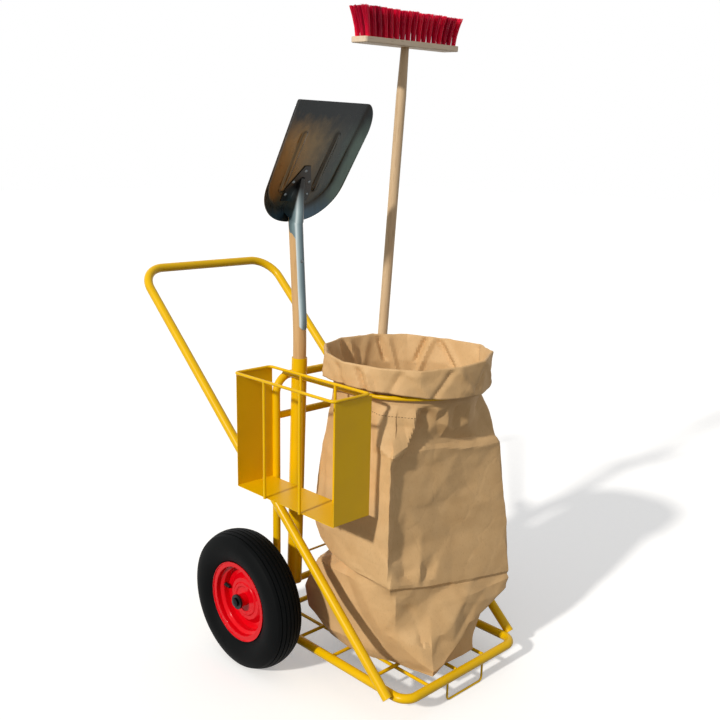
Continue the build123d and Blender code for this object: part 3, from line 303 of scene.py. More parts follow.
# %% [markdown]
# ## Metals
# Bolts are zinc plated: bright, faintly blue and a little cloudy. The axle's push-on caps are spring steel,
# blued nearly black, with the same cloudy sheen, so one function makes both. The shovel's blade is sheet
# steel under a clear lacquer. Its colours are painted reflections of its surroundings: straw brown on one
# side, blue-grey on the other and low down, and nearly black at the cutting edge, with painted shade along
# its pressed bends and ribs. Its strap is galvanised, with a painted highlight along its crest and painted
# shade towards its edges, but where the frog is riveted to the blade it shares the blade's dark lacquer. A
# second function makes blade and strap, from colours and the places where they change.

# %% Metals: plated and blued
def cloudy_steel(name, dark, light):
    material, tree, shader, place = new_finish(name)
    cloud, plate = mottled(tree, place, 6, 3.0, dark, light)
    dull = add_node(tree, "ShaderNodeMapRange", {"Value": cloud, "To Min": 0.2, "To Max": 0.36})
    fill(tree, shader, {"Base Color": plate, "Roughness": dull.outputs[0], "Metallic": 1.0})
    return material


finish["zinc_steel"] = cloudy_steel("bright zinc plate", "b9bec2", "d5d6d2")
finish["rivet_steel"] = cloudy_steel("dull zinc plate", "585e61", "72787b")
finish["blued_steel"] = cloudy_steel("blued spring steel", "15171a", "282b2f")
print("finishes so far", len(finish))

# %% Metals: shovel steel
def fade_to(tree, axis, start, end, tone, colour):
    """A tone that turns to a colour between two places on an axis, in mm."""
    share = add_node(tree, "ShaderNodeMapRange", {
        "Value": axis, "From Min": start * MM, "From Max": end * MM})
    mixed = add_node(tree, "ShaderNodeMix", {
        0: share.outputs[0], 6: tone, 7: srgb(colour)}, data_type="RGBA")
    return mixed.outputs[2]


def shovel_steel(name, across, edge, streak_mm, wander_mm, roughness):
    """Sheet steel whose colour changes across the shovel and towards its ends, as painted reflections and
    painted shade, with soft rolled streaks.
    """
    material, tree, shader, place = new_finish(name)
    axes = add_node(tree, "ShaderNodeSeparateXYZ", {0: place})
    along = add_node(tree, "ShaderNodeMapping", {"Vector": place, "Scale": (1.0, 1.0, 0.12)})
    streak = add_node(tree, "ShaderNodeTexNoise", {
        "Vector": along.outputs[0], "Scale": per_metre(streak_mm), "Detail": 5.0})
    wander = add_node(tree, "ShaderNodeMapRange", {
        "Value": streak.outputs["Fac"], "To Min": -wander_mm * MM, "To Max": wander_mm * MM})
    side = add_node(tree, "ShaderNodeMath", {0: axes.outputs["X"], 1: wander.outputs[0]})
    height = add_node(tree, "ShaderNodeMath", {0: axes.outputs["Z"], 1: wander.outputs[0]})
    tone = srgb(across[0][1])
    for (start, _), (end, colour) in zip(across, across[1:]):
        tone = fade_to(tree, side.outputs[0], start, end, tone, colour)
    for start, end, colour in edge:
        tone = fade_to(tree, height.outputs[0], start, end, tone, colour)
    # Painted shade: the tone darkens along the pressed bends and beside the ribs, where shade falls.
    bend = add_node(tree, "ShaderNodeAttribute", {}, attribute_name="painted_bend_shade")
    bend_shaded = add_node(tree, "ShaderNodeMix", {
        0: bend.outputs["Fac"], 6: tone, 7: srgb("1c1712")}, data_type="RGBA")
    dull = add_node(tree, "ShaderNodeMapRange", {
        "Value": streak.outputs["Fac"], "To Min": roughness - 0.08, "To Max": roughness + 0.12})
    rolled = add_node(tree, "ShaderNodeBump", {
        "Height": streak.outputs["Fac"], "Strength": 0.08, "Distance": 0.4 * MM})
    fill(tree, shader, {
        "Base Color": bend_shaded.outputs[2], "Roughness": dull.outputs[0], "Normal": rolled.outputs[0],
        "Metallic": 0.9, "Coat Weight": 0.25, "Coat Roughness": 0.12})
    return material


# The blade's colours across it and towards its ends are painted reflections of its surroundings.
finish["dark_steel"] = shovel_steel(
    "lacquered blade steel with painted reflections",
    [(-300, "4c3c28"), (-265, "7a5d34"), (-190, "66553a"), (-135, "3e3a30"), (-90, "323837"),
     (-55, "48554f")],
    [(1440, 1500, "1f2325"), (1297, 1256, "394953")], 14, 22, 0.28)
# The strap's bright band near -189 mm is a painted highlight, and its dark sides are painted shade.
finish["grey_steel"] = shovel_steel(
    "galvanised strap steel with painted highlight",
    [(-206, "26292a"), (-198, "4d6063"), (-192, "74878a"), (-189, "d4dede"), (-186, "a9babc"),
     (-181, "76888c"), (-173, "46565c"), (-165, "222e33")],
    [(1262, 1325, "2b2a29")], 20, 3, 0.3)
print("finishes so far", len(finish))

# %% [markdown]
# ## Wood
# The shovel's handle is ash and the broom is beech, both turned and sanded. Grain runs along the
# stick, so a noise that is stretched along the height gives long fibres, and a finer one the short dark
# flecks of beech. A wave texture would give rings, but on a thin stick they only show as long streaks.

# %% Wood
def turned_wood(name, pale, dark, fleck, grain_mm, stretch):
    material, tree, shader, place = new_finish(name)
    along = add_node(tree, "ShaderNodeMapping", {"Vector": place, "Scale": stretch})
    grain = add_node(tree, "ShaderNodeTexNoise", {
        "Vector": along.outputs[0], "Scale": per_metre(grain_mm), "Detail": 5.0, "Roughness": 0.6})
    tone = add_node(tree, "ShaderNodeMix", {
        0: grain.outputs["Fac"], 6: srgb(dark), 7: srgb(pale)}, data_type="RGBA")
    flecks = add_node(tree, "ShaderNodeTexNoise", {
        "Vector": along.outputs[0], "Scale": per_metre(grain_mm / 3), "Detail": 1.0})
    cut = add_node(tree, "ShaderNodeMapRange", {
        "Value": flecks.outputs["Fac"], "From Min": 0.6, "From Max": 0.72, "To Max": 0.45})
    wood = add_node(tree, "ShaderNodeMix", {
        0: cut.outputs[0], 6: tone.outputs[2], 7: srgb(fleck)}, data_type="RGBA")
    fibres = add_node(tree, "ShaderNodeBump", {
        "Height": grain.outputs["Fac"], "Strength": 0.2, "Distance": 0.4 * MM})
    fill(tree, shader, {
        "Base Color": wood.outputs[2], "Normal": fibres.outputs[0], "Roughness": 0.55, "IOR": 1.5})
    return material


finish["ash_wood"] = turned_wood("sanded ash", "d8b07a", "ba905a", "8c643a", 9, (1.0, 1.0, 0.03))
finish["beech_wood"] = turned_wood("sanded beech", "d9bd96", "bf9f78", "92704a", 7, (1.0, 1.0, 0.04))
# The block is paler beech than the stick, and painted paler still as painted light for the sun its turned
# face misses.
finish["beech_block"] = turned_wood("planed beech painted paler", "f0dcc2", "dcc4a6", "b79c7a", 8, (0.04, 1.0, 1.0))
print("finishes so far", len(finish))

# %% [markdown]
# ## Kraft paper
# Sack paper is brown kraft: long fibres pressed matt, mottled in cloud shapes of a few centimetres, with
# sharp little creases wherever it was handled. The large folds are modelled; the handling creases are
# too fine for the mesh, so a network of cell edges presses them in as bump. The fibres are drawn 2.5 mm
# wide, coarser than real ones, so that they show.

# %% Kraft paper
def kraft_paper():
    material, tree, shader, place = new_finish("brown kraft paper")
    cloud = add_node(tree, "ShaderNodeTexNoise", {
        "Vector": place, "Scale": per_metre(60), "Detail": 6.0, "Roughness": 0.6})
    tone = add_node(tree, "ShaderNodeMix", {
        0: cloud.outputs["Fac"], 6: srgb("c39b68"), 7: srgb("dab685")}, data_type="RGBA")
    fibre_run = add_node(tree, "ShaderNodeMapping", {"Vector": place, "Scale": (1.0, 1.0, 0.25)})
    fibre = add_node(tree, "ShaderNodeTexNoise", {
        "Vector": fibre_run.outputs[0], "Scale": per_metre(2.5), "Detail": 3.0})
    speck = add_node(tree, "ShaderNodeMapRange", {
        "Value": fibre.outputs["Fac"], "From Min": 0.58, "From Max": 0.75, "To Max": 0.35})
    paper = add_node(tree, "ShaderNodeMix", {
        0: speck.outputs[0], 6: tone.outputs[2], 7: srgb("a3804f")}, data_type="RGBA")
    bend = add_node(tree, "ShaderNodeTexNoise", {"Vector": place, "Scale": per_metre(70), "Detail": 2.0})
    shift = add_node(tree, "ShaderNodeVectorMath", {
        0: bend.outputs["Color"], "Scale": 50 * MM}, operation="SCALE")
    warped = add_node(tree, "ShaderNodeVectorMath", {0: place, 1: shift.outputs[0]}, operation="ADD")
    crease = add_node(tree, "ShaderNodeTexVoronoi", {
        "Vector": warped.outputs[0], "Scale": per_metre(80)}, feature="DISTANCE_TO_EDGE")
    press = add_node(tree, "ShaderNodeMapRange", {"Value": crease.outputs["Distance"], "From Max": 0.12})
    folds = add_node(tree, "ShaderNodeBump", {
        "Height": press.outputs[0], "Strength": 0.45, "Distance": 0.8 * MM})
    grain = add_node(tree, "ShaderNodeBump", {
        "Height": fibre.outputs["Fac"], "Strength": 0.25, "Distance": 0.25 * MM, "Normal": folds.outputs[0]})
    fill(tree, shader, {
        "Base Color": paper.outputs[2], "Normal": grain.outputs[0], "Roughness": 0.68, "IOR": 1.45})
    return material


finish["kraft_paper"] = kraft_paper()
print("finish", finish["kraft_paper"].name)

# %% [markdown]
# ## Bristle plastic
# Broom bristle is drawn PVC in two reds, cut to length and slightly bleached. Each strand carries its own
# number, stored on the mesh, which picks its red.

# %% Bristle plastic
def bristle_plastic():
    material, tree, shader, _ = new_finish("red bristle plastic")
    strand = add_node(tree, "ShaderNodeAttribute", {}, attribute_name="strand_tone")
    tone = add_node(tree, "ShaderNodeMix", {
        0: strand.outputs["Fac"], 6: srgb("b20032"), 7: srgb("ff1446")}, data_type="RGBA")
    fill(tree, shader, {
        "Base Color": tone.outputs[2], "Roughness": 0.38, "IOR": 1.5, "Specular IOR Level": 0.25})
    return material


finish["red_bristle"] = bristle_plastic()
print("finish", finish["red_bristle"].name)

# %% [markdown]
# ## Dress the solids
# The record says which finish each solid wears, so one loop can dress them all. A few wear a finish of
# their own: the broom's block is planed along its length, paler beech than the stick and painted paler
# again to stand in for sun that its turned face misses, and rivets and axle caps are darker than bolts.

# %% Dress the solids
OWN_FINISH = {"broom_block": "beech_block", "shovel_rivets": "rivet_steel", "axle_caps": "blued_steel"}
for part in frame["record"]["subparts"]:
    solid = nodes[part["node"]].data
    solid.materials.clear()
    solid.materials.append(finish[OWN_FINISH.get(part["node"], part["material_slot"])])

# %% [markdown]
# ## Paper sack: outlines
# A filled paper sack keeps flat panels and sharp edges, because paper bends but hardly stretches. So its
# form is a few closed lines, with straight paper between them: the foot that stands on the grid, the
# heel whose ear sticks out, the fold where the bottom was tucked, the two ends of the pleat at the left
# corner, the shoulder under the hoop, and the round neck. Each line is a list of places in mm, with a
# height where it isn't level. A cloth simulation could find such a form, but paper needs stiff solving,
# and lines are easier to steer.

# %% Paper sack: hoop and neck
NECK_BELOW_HOOP = 20.0
HOOP_CLEARANCE = 3.0
FOOT_CLEARANCE = 1.0

hoop_low, hoop_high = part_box("sack_hoop")
sack_low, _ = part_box("paper_sack")
hoop_level = (hoop_low.z + hoop_high.z) / 2
hoop_rod = hoop_high.z - hoop_low.z
hoop_radius = (hoop_high.x - hoop_low.x - hoop_rod) / 2
sack_axis = Vector((0.0, hoop_low.y + hoop_rod / 2 + hoop_radius))
sack_foot = sack_low.z / MM + FOOT_CLEARANCE
neck_level = hoop_level / MM - NECK_BELOW_HOOP
neck_radius = (hoop_radius - hoop_rod / 2) / MM - HOOP_CLEARANCE
print("neck radius", round(neck_radius, 1), "at", round(neck_level, 1), "foot at", round(sack_foot, 1), "mm")

# %% Paper sack: outlines
FOOT_LINE = [(-96, -487), (-21, -466), (48, -471), (95, -469), (140, -425), (170, -350), (180, -250),
             (180, -120), (120, -62), (-100, -66), (-148, -140), (-160, -228), (-148, -310), (-122, -361),
             (-113, -416)]
UNDER_LINE = [(-96, -488, 84), (-55, -474, 88), (-10, -466, 120), (46, -454, 170), (116, -450, 190),
              (186, -450, 216), (205, -430, 190), (205, -330, 160), (200, -200, 150), (185, -95, 150),
              (0, -66, 150), (-150, -74, 155), (-186, -92, 160), (-188, -187, 125), (-172, -300, 110),
              (-140, -370, 100), (-118, -420, 88)]
HEEL_LINE = [(-96, -490, 90), (-55, -490, 96), (-10, -490, 135), (46, -490, 186), (116, -490, 207),
             (200, -490, 240), (222, -430, 232), (226, -330, 215), (215, -200, 205), (205, -100, 200),
             (0, -68, 200), (-160, -74, 215), (-194, -90, 222), (-194, -170, 230), (-190, -260, 225),
             (-178, -340, 205), (-158, -400, 180), (-128, -445, 130)]
LOBE_LINE = [(-180, -420, 290), (-110, -446, 270), (0, -470, 262), (100, -487, 262), (208, -490, 266),
             (226, -430, 264), (229, -330, 260), (215, -200, 260), (198, -90, 262), (0, -68, 280),
             (-140, -76, 300), (-176, -108, 312), (-182, -150, 310), (-190, -215, 312), (-196, -300, 312),
             (-190, -370, 300)]
WAIST_LINE = [(-196, -414, 331), (-79, -442, 310), (209, -486, 278), (225, -300, 282), (192, -88, 300),
              (0, -70, 330), (-70, -76, 345), (-100, -98, 338), (-128, -142, 332), (-162, -210, 330),
              (-194, -290, 335)]
FOLD_LINE = [(-199, -418, 340), (-79, -446, 319), (212, -489, 287), (228, -300, 292), (195, -85, 310),
             (0, -68, 350), (-130, -76, 405), (-184, -106, 424), (-190, -137, 388), (-190, -175, 366),
             (-197, -220, 351), (-206, -275, 349)]
LOW_LINE = [(-205, -412, 430), (-178, -403, 430), (205, -475, 430), (222, -300, 430), (190, -90, 430),
            (0, -70, 430), (-172, -90, 440), (-192, -112, 438), (-206, -160, 430), (-207, -280, 430)]
HIGH_LINE = [(-203, -410, 650), (-178, -400, 650), (190, -446, 650), (215, -300, 650), (180, -92, 650),
             (0, -70, 650), (-166, -112, 650), (-197, -162, 650), (-204, -290, 650)]
SHOULDER_LINE = [(-200, -414, 690), (-150, -400, 705), (182, -446, 676), (212, -290, 676),
                 (172, -95, 690), (0, -72, 690), (-158, -118, 690), (-198, -190, 690), (-202, -290, 690)]
SACK_LINES = (UNDER_LINE, HEEL_LINE, LOBE_LINE, WAIST_LINE, FOLD_LINE, LOW_LINE, HIGH_LINE, SHOULDER_LINE)
foot_line = [(x, y, sack_foot) for x, y in FOOT_LINE]


def ray_meets(outline, angle):
    """Point of a closed outline on the ray at an angle from the front toward the right, in mm."""
    ray = Vector((math.sin(angle), -math.cos(angle)))
    for start, end in zip(outline, outline[1:] + outline[:1]):
        first = Vector(start[:2]) - sack_axis / MM
        second = Vector(end[:2]) - sack_axis / MM
        before, after = ray.cross(first), ray.cross(second)
        if before * after > 0 or before == after:
            continue
        share = before / (before - after)
        if first.lerp(second, share).dot(ray) > 0:
            return Vector(start).lerp(Vector(end), share)
    return None


front_point = ray_meets(foot_line, 0.0)
print("outlines", len(SACK_LINES) + 1, "and the foot's front at", round(front_point.y), "mm")

# %% [markdown]
# ## Paper sack: one sheet
# The sack is one tube of paper. A ring of points starts at the foot and is extruded upward, ring by ring,
# past the heel, the fold, the shoulder and the neck, up inside the hoop, over, and down outside it as the
# cuff. Growing it this way keeps the mesh in even squares, which creases and solidifies well. Stiff paper
# turns over in straight stretches, so the cuff's rim is a polygon with a few kinks, not a circle. A kink
# is given by its turn from the front in degrees, its height and its radius.

# %% Paper sack: rim
RIM_KINKS = [(-168, 914, 216), (-140, 917, 221), (-118, 911, 223), (-92, 908, 229), (-64, 905, 223),
             (-38, 903, 224), (-8, 905, 218), (16, 909, 224), (44, 911, 227), (70, 909, 229),
             (104, 905, 221), (133, 909, 222), (160, 912, 217)]


def on_circle(angle, radius, height):
    """Point of a level circle about the sack's axis, in mm."""
    axis = sack_axis / MM
    return Vector((axis.x + radius * math.sin(angle), axis.y - radius * math.cos(angle), height))


def rim_corner(angle):
    """Point of the kinked rim at one angle, in mm."""
    turn = math.degrees(angle)
    first = RIM_KINKS[0]
    ring = RIM_KINKS + [(first[0] + 360, *first[1:])]
    if turn < first[0]:
        turn += 360
    for before, after in zip(ring, ring[1:]):
        if turn <= after[0]:
            start = on_circle(math.radians(before[0]), before[2], before[1])
            end = on_circle(math.radians(after[0]), after[2], after[1])
            behind = on_circle(math.radians(before[0] + 180), 1.0, 0.0)
            return ray_meets([start, end, behind], angle)
    return None


print("rim kinks", len(RIM_KINKS))

# %% Paper sack: hem of the cuff
CUFF_HEM_FRONT = 829.0
CUFF_HEM_LEFT = 852.0
CUFF_HEM_RADIUS = 222.0
HEM_FALLS = (-85, 0)
HEM_RISES = (80, 115)
HEM_WAVE, HEM_WAVE_SEED = 6.0, 11.0
HEM_BULGE, HEM_BULGE_SEED = 4.0, 7.0
WAVE_PACE = 1.6


def waviness(angle, seed, size):
    """Slow wave around the sack, the same at both ends of the turn."""
    return size * noise.noise(Vector((WAVE_PACE * math.sin(angle), WAVE_PACE * math.cos(angle), seed)))


def smooth_step(value, low, high):
    """Soft change from 0 to 1 between two values."""
    share = min(max((value - low) / (high - low), 0.0), 1.0)
    return share * share * (3 - 2 * share)


def hem_point(angle):
    """Point of the cuff's hem at one angle, in mm."""
    turn = math.degrees(angle)
    front = smooth_step(turn, *HEM_FALLS) * (1 - smooth_step(turn, *HEM_RISES))
    level = CUFF_HEM_LEFT + (CUFF_HEM_FRONT - CUFF_HEM_LEFT) * front
    level += waviness(angle, HEM_WAVE_SEED, HEM_WAVE)
    return on_circle(angle, CUFF_HEM_RADIUS + waviness(angle, HEM_BULGE_SEED, HEM_BULGE), level)


print("hem at the front", round(hem_point(0.0).z), "mm high")

# %% Paper sack: lines of the sheet
SACK_SEGMENTS = 240
BODY_RINGS = (10, 6, 18, 8, 4, 14, 32, 8, 20)
PLEAT_TURNS = (-55.0, -54.5, -54.1, -53.7, -52.8, -52.3, -51.9)
MOUTH_RINGS = 18
ROLL_RINGS = 4
CUFF_RINGS = 16
LIP_ROLL = 3.0


def paper_line(angle):
    """The sheet's line at one angle, from the foot to the hem of the cuff."""
    corners = [ray_meets(line, angle) for line in (foot_line, *SACK_LINES)]
    corners.append(on_circle(angle, neck_radius, neck_level))
    line = [corners[0]]
    for start, end, rings in zip(corners, corners[1:], BODY_RINGS):
        line += [start.lerp(end, (ring + 1) / rings) for ring in range(rings)]
    rim = rim_corner(angle)
    reach = (rim.xy - sack_axis / MM).length
    inside = on_circle(angle, reach - 2 * LIP_ROLL, rim.z)
    above_hoop = on_circle(angle, neck_radius, hoop_level / MM + hoop_rod / MM / 2 + HOOP_CLEARANCE)
    half = MOUTH_RINGS // 2
    line += [corners[-1].lerp(above_hoop, (ring + 1) / half) for ring in range(half)]
    line += [above_hoop.lerp(inside, (ring + 1) / half) for ring in range(half)]
    for ring in range(ROLL_RINGS):
        bend = math.pi * (ring + 1) / ROLL_RINGS
        lip = reach - LIP_ROLL * (1 + math.cos(bend))
        line.append(on_circle(angle, lip, rim.z + LIP_ROLL * math.sin(bend)))
    hem = hem_point(angle)
    line += [line[-1].lerp(hem, (ring + 1) / CUFF_RINGS) for ring in range(CUFF_RINGS)]
    return line


even_turns = [math.tau * (segment + 0.5) / SACK_SEGMENTS - math.pi for segment in range(SACK_SEGMENTS)]
turns = sorted(even_turns + [math.radians(turn) for turn in PLEAT_TURNS])
lines = [paper_line(turn) for turn in turns]
print("rings", len(lines[0]), "segments", len(lines))

# %% Paper sack: grow the sheet
def grow_sheet(lines):
    """Sheet grown ring by ring from a circle, through the points of every line."""
    sheet = bmesh.new()
    ring = bmesh.ops.create_circle(sheet, segments=len(lines), radius=1.0)["verts"]
    edges = sheet.edges[:]
    bmesh.ops.contextual_create(sheet, geom=edges)
    for level in range(len(lines[0])):
        if level:
            grown = bmesh.ops.extrude_edge_only(sheet, edges=edges)["geom"]
            fresh = {part for part in grown if isinstance(part, bmesh.types.BMVert)}
            edges = [part for part in grown if isinstance(part, bmesh.types.BMEdge)]
            ring = [next(e.other_vert(v) for e in v.link_edges if e.other_vert(v) in fresh) for v in ring]
        for vert, line in zip(ring, lines):
            vert.co = line[level] * MM
    # The extrusion adds its faces in no fixed order, so they are sorted to give the same mesh each run.
    sheet.verts.index_update()
    sheet.faces.sort(key=lambda face: sum(vert.index for vert in face.verts))
    bmesh.ops.recalc_face_normals(sheet, faces=sheet.faces)
    foot = max(sheet.faces, key=lambda face: len(face.verts))
    if foot.normal.z > 0:
        bmesh.ops.reverse_faces(sheet, faces=sheet.faces)
    return sheet


sack_sheet = grow_sheet(lines)
print("sheet", len(sack_sheet.verts), "points")

# %% [markdown]
# ## Paper sack: creases
# Handling leaves straight creases, and the paper between them stays flat. So the creases are a net: each
# point has a place on the unrolled sheet, as a turn and a height, and a push out of the panel or into it.
# A triangulation fills the net with flat facets, and a ray cast down on it reads the push at any place.
# Noise alone would give soft dents, as on cloth. Between the creases the paper is handled: tents in a few
# directions come and go across the panels, deeper below the fold. Around the hoop the paper is gathered in
# leaning folds, each with its turn, lean, depth and half width. Those of the mouth run on below the hoop,
# but only inward there, because the rod holds the paper from outside.

# %% Paper sack: where the creases run
UNROLLED_RADIUS = 230.0
CREASES = [
    [(-108, 372, 0), (-88, 356, 2), (-61, 344, 2), (-52, 342, 3), (-34, 328, 3), (-1, 312, 3), (22, 302, 3),
     (45, 288, 2), (75, 290, 0), (130, 298, 0)],
    [(-88, 320, -4), (-71, 262, 6), (-58, 187, 7), (-33, 163, 6), (-24, 88, 4)],
    [(-51, 322, -3), (-45, 290, -4), (-38, 262, -14), (-33, 209, -13), (-30, 163, -4)],
    [(-38, 262, -14), (-16, 288, -10), (0, 298, -2)],
    [(-95, 300, -9), (-80, 212, -7), (-64, 150, -6)],
    [(-33, 163, 6), (-15, 162, -3), (-4, 152, 3), (12, 160, 4)],
    [(-15, 162, -3), (-22, 120, -5)],
    [(13, 272, 6), (18, 236, 4), (8, 196, -2), (-4, 152, 3)],
    [(6, 250, 11), (-4, 212, 12), (-13, 180, 7)],
    [(28, 262, -6), (34, 228, 3)],
    [(-52, 392, 3), (-44, 402, -10), (-31, 390, 2), (-33, 352, 7), (-43, 362, -9), (-50, 350, 5)],
    [(-18, 396, 0), (-24, 356, -9), (-30, 328, 0)],
    [(-12, 380, 3), (-19, 335, 3)],
    [(-76, 446, 0), (-79, 360, 4)],
    [(-64, 446, 0), (-68, 350, 0)],
    [(-66, 782, 8), (-63, 712, 10), (-55, 688, 2), (-47, 712, 15), (-41, 760, 15), (-39, 806, 9)],
    [(-52, 796, -2), (-52, 760, -12), (-54, 720, -12)],
    [(-74, 780, -8), (-70, 690, -8), (-66, 560, -3)],
    [(-34, 802, -22), (-36, 750, -22), (-42, 706, -14), (-49, 668, -6)],
    [(-28, 712, -8), (-10, 708, -9), (11, 696, -9), (31, 690, -9), (46, 682, -5)],
    [(-30, 690, 4), (-10, 684, 6), (12, 672, 8), (32, 664, 8), (46, 662, 4)],
    [(-22, 800, 4), (-20, 756, -9), (-28, 712, -8)],
    [(-12, 800, -4), (-9, 750, 6), (-10, 708, -9)],
    [(-4, 800, -10), (0, 752, -11), (3, 724, -4), (11, 696, -9)],
    [(12, 800, 5), (14, 745, 8)],
    [(28, 800, -4), (36, 745, -9), (31, 690, -9)],
    [(44, 800, 3), (46, 740, 5)],
    [(-20, 640, 0), (13, 660, 4), (30, 600, 0)],
    [(-26, 538, 0), (-6, 592, 4), (20, 562, -3)],
    [(-44, 540, 0), (-16, 526, -4), (10, 540, 0), (40, 500, 3)],
    [(-30, 470, 3), (6, 440, -4), (38, 420, 0)],
    [(-92, 640, 0), (-96, 520, 6), (-92, 430, 0)],
    [(-118, 700, -3), (-122, 560, -10), (-120, 420, -3)],
    [(-130, 640, -2), (-134, 500, 0)],
    [(-112, 330, 3), (-122, 240, 8), (-118, 140, 3)],
    [(-140, 300, -6), (-146, 200, 6)],
    [(70, 640, 4), (84, 520, -6), (76, 400, 4)],
    [(110, 600, -5), (100, 460, 5)],
    [(150, 620, 5), (160, 450, -6), (150, 340, 3)],
    [(90, 250, -6), (110, 160, 5)],
    [(150, 240, 6), (165, 150, -5)],
    [(60, 240, 5), (66, 160, -6), (84, 110, 3)],
    [(-60, 110, 0), (-40, 112, 4)],
]
print("creases", len(CREASES))

# %% Paper sack: where the hoop gathers it
MOUTH_CREASES = [(-176, 2, 10, 4), (-168, 2, -8, 4), (-158, 0, 6, 5), (-146, 3, -7, 5), (-134, 0, 6, 6),
                 (170, -3, 5, 6), (153, 3, -11, 3.5), (146, 3, 8, 4), (135, 0, 3, 6), (122, -4, -11, 3),
                 (116, -4, 9, 4), (99, 10, -10, 3.5), (92, 10, 8, 4), (62, 8, -8, 4), (54, 8, 5, 5)]
CUFF_CREASES = [(-140, 4, -6, 5), (-118, 2, 6, 4), (-96, -3, -6, 5), (-77, -4, -12, 2.5), (-71, -4, 8, 3),
                (-55, 5, -5, 4), (-38, -7, 6, 5), (-22, 8, -6, 4), (-4, -8, 5, 5), (13, 8, -6, 4),
                (29, -7, 6, 5), (45, 8, -9, 3.5), (53, 7, 6, 4), (68, -5, 5, 5), (84, 5, -6, 4),
                (110, 5, 6, 5), (150, -5, -6, 5)]
CUFF_MIDDLE = 868.0
CUFF_HALF = 36.0
print("leaning folds", len(MOUTH_CREASES), "in the mouth,", len(CUFF_CREASES), "in the cuff")

# %% Paper sack: net of creases
NET_EDGES = [(-180, 180), (sack_foot, hoop_level / MM)]
NET_STEP = 60
NET_MERGE = 0.01
NET_CAST = 100.0


def crease_net():
    """Facets of the crease net, as a field whose height is the push."""
    points, edges = [], []
    for crease in CREASES:
        for step, (turn, height, push) in enumerate(crease):
            place = (UNROLLED_RADIUS * math.radians(turn), height, push)
            if place not in points:
                points.append(place)
            if step:
                edges.append((points.index(last), points.index(place)))
            last = place
    for turn in range(NET_EDGES[0][0], NET_EDGES[0][1] + 1, NET_STEP):
        points += [(UNROLLED_RADIUS * math.radians(turn), height, 0) for height in NET_EDGES[1]]
    for height in range(int(NET_EDGES[1][0]) + NET_STEP, int(NET_EDGES[1][1]), NET_STEP):
        points += [(UNROLLED_RADIUS * math.radians(turn), height, 0) for turn in NET_EDGES[0]]
    flat = [Vector(point[:2]) for point in points]
    places, _, faces, origins = geometry.delaunay_2d_cdt(flat, edges, [], 0, NET_MERGE)[:4]
    pushes = [points[found[0]][2] if found else 0.0 for found in origins]
    print("crease net", len(points), "points,", sum(not found for found in origins), "crossings")
    return BVHTree.FromPolygons([(*place, push) for place, push in zip(places, pushes)], faces)


net = crease_net()


def crease_depth(angle, height):
    """Push of the crease net at a place of the unrolled sheet, in mm."""
    found = net.ray_cast(Vector((UNROLLED_RADIUS * angle, height, NET_CAST)), Vector((0, 0, -1)))[0]
    return found.z if found else 0.0


# %% Paper sack: leaning folds
def tent(away, width):
    """Straight-sided fold: 1 on its line, 0 at its width."""
    return max(0.0, 1.0 - abs(away) / width)


def leaning_depth(creases, angle, height):
    """Leaning creases where the paper was gathered to go over the hoop, in mm."""
    turn = math.degrees(angle)
    share = (height - CUFF_MIDDLE) / CUFF_HALF
    total = 0.0
    for middle, lean, depth, half in creases:
        away = (turn - middle - lean * share + 180) % 360 - 180
        total += depth * tent(away, half)
    return total


print("fold at the front of the cuff", round(leaning_depth(CUFF_CREASES, 0.0, CUFF_MIDDLE), 1), "mm")

# %% Paper sack: handled paper
CRUMPLE_FOLD = 130.0
CRUMPLE_DEPTH = 4.0
FINE_FOLD = 44.0
FINE_DEPTH = 1.6
CRUMPLE_WAYS = 6
CRUMPLE_SPREAD = 90
DRIFT_FOLDS = 2.2
PATCH_FOLDS = 1.4
PATCH_BIAS = 0.15
rng = random.Random(5)
crumple_ways = []
for _ in range(CRUMPLE_WAYS):
    way = Vector((rng.uniform(-1, 1), rng.uniform(-1, 1), rng.uniform(-1, 1))).normalized()
    phase = rng.random()
    shift = Vector([rng.uniform(0, CRUMPLE_SPREAD) for _ in range(3)])
    crumple_ways.append((way, phase, shift))


def crumple(place, fold, depth):
    """Straight-sided folds in several directions, each of which comes and goes, in mm."""
    total = 0.0
    for way, phase, shift in crumple_ways:
        drift = 0.5 * noise.noise(place / (DRIFT_FOLDS * fold) + shift)
        wave = abs((place.dot(way) / fold + phase + drift) % 1.0 - 0.5) * 2 - 0.5
        total += wave * max(0.0, noise.noise(place / (PATCH_FOLDS * fold) - shift) + PATCH_BIAS)
    return depth * total


print("handled in", len(crumple_ways), "directions")

# %% Paper sack: press the creases in
FOOT_FADE = 40.0
LOW_FADE = (250, 330)
NECK_FADE = (780, 815)
BELOW_HOOP_FADE = (740, 775)
HOOP_FADE = (834, 846)
RIM_FADE = (896, 914)
HEM_FADE = (815, 835)
CUFF_FADE = (890, 908)
PANEL_SHARE = 0.45
MOUTH_SHARE = 0.5
CUFF_SHARE = 2.0
SOFTENING = 0.25


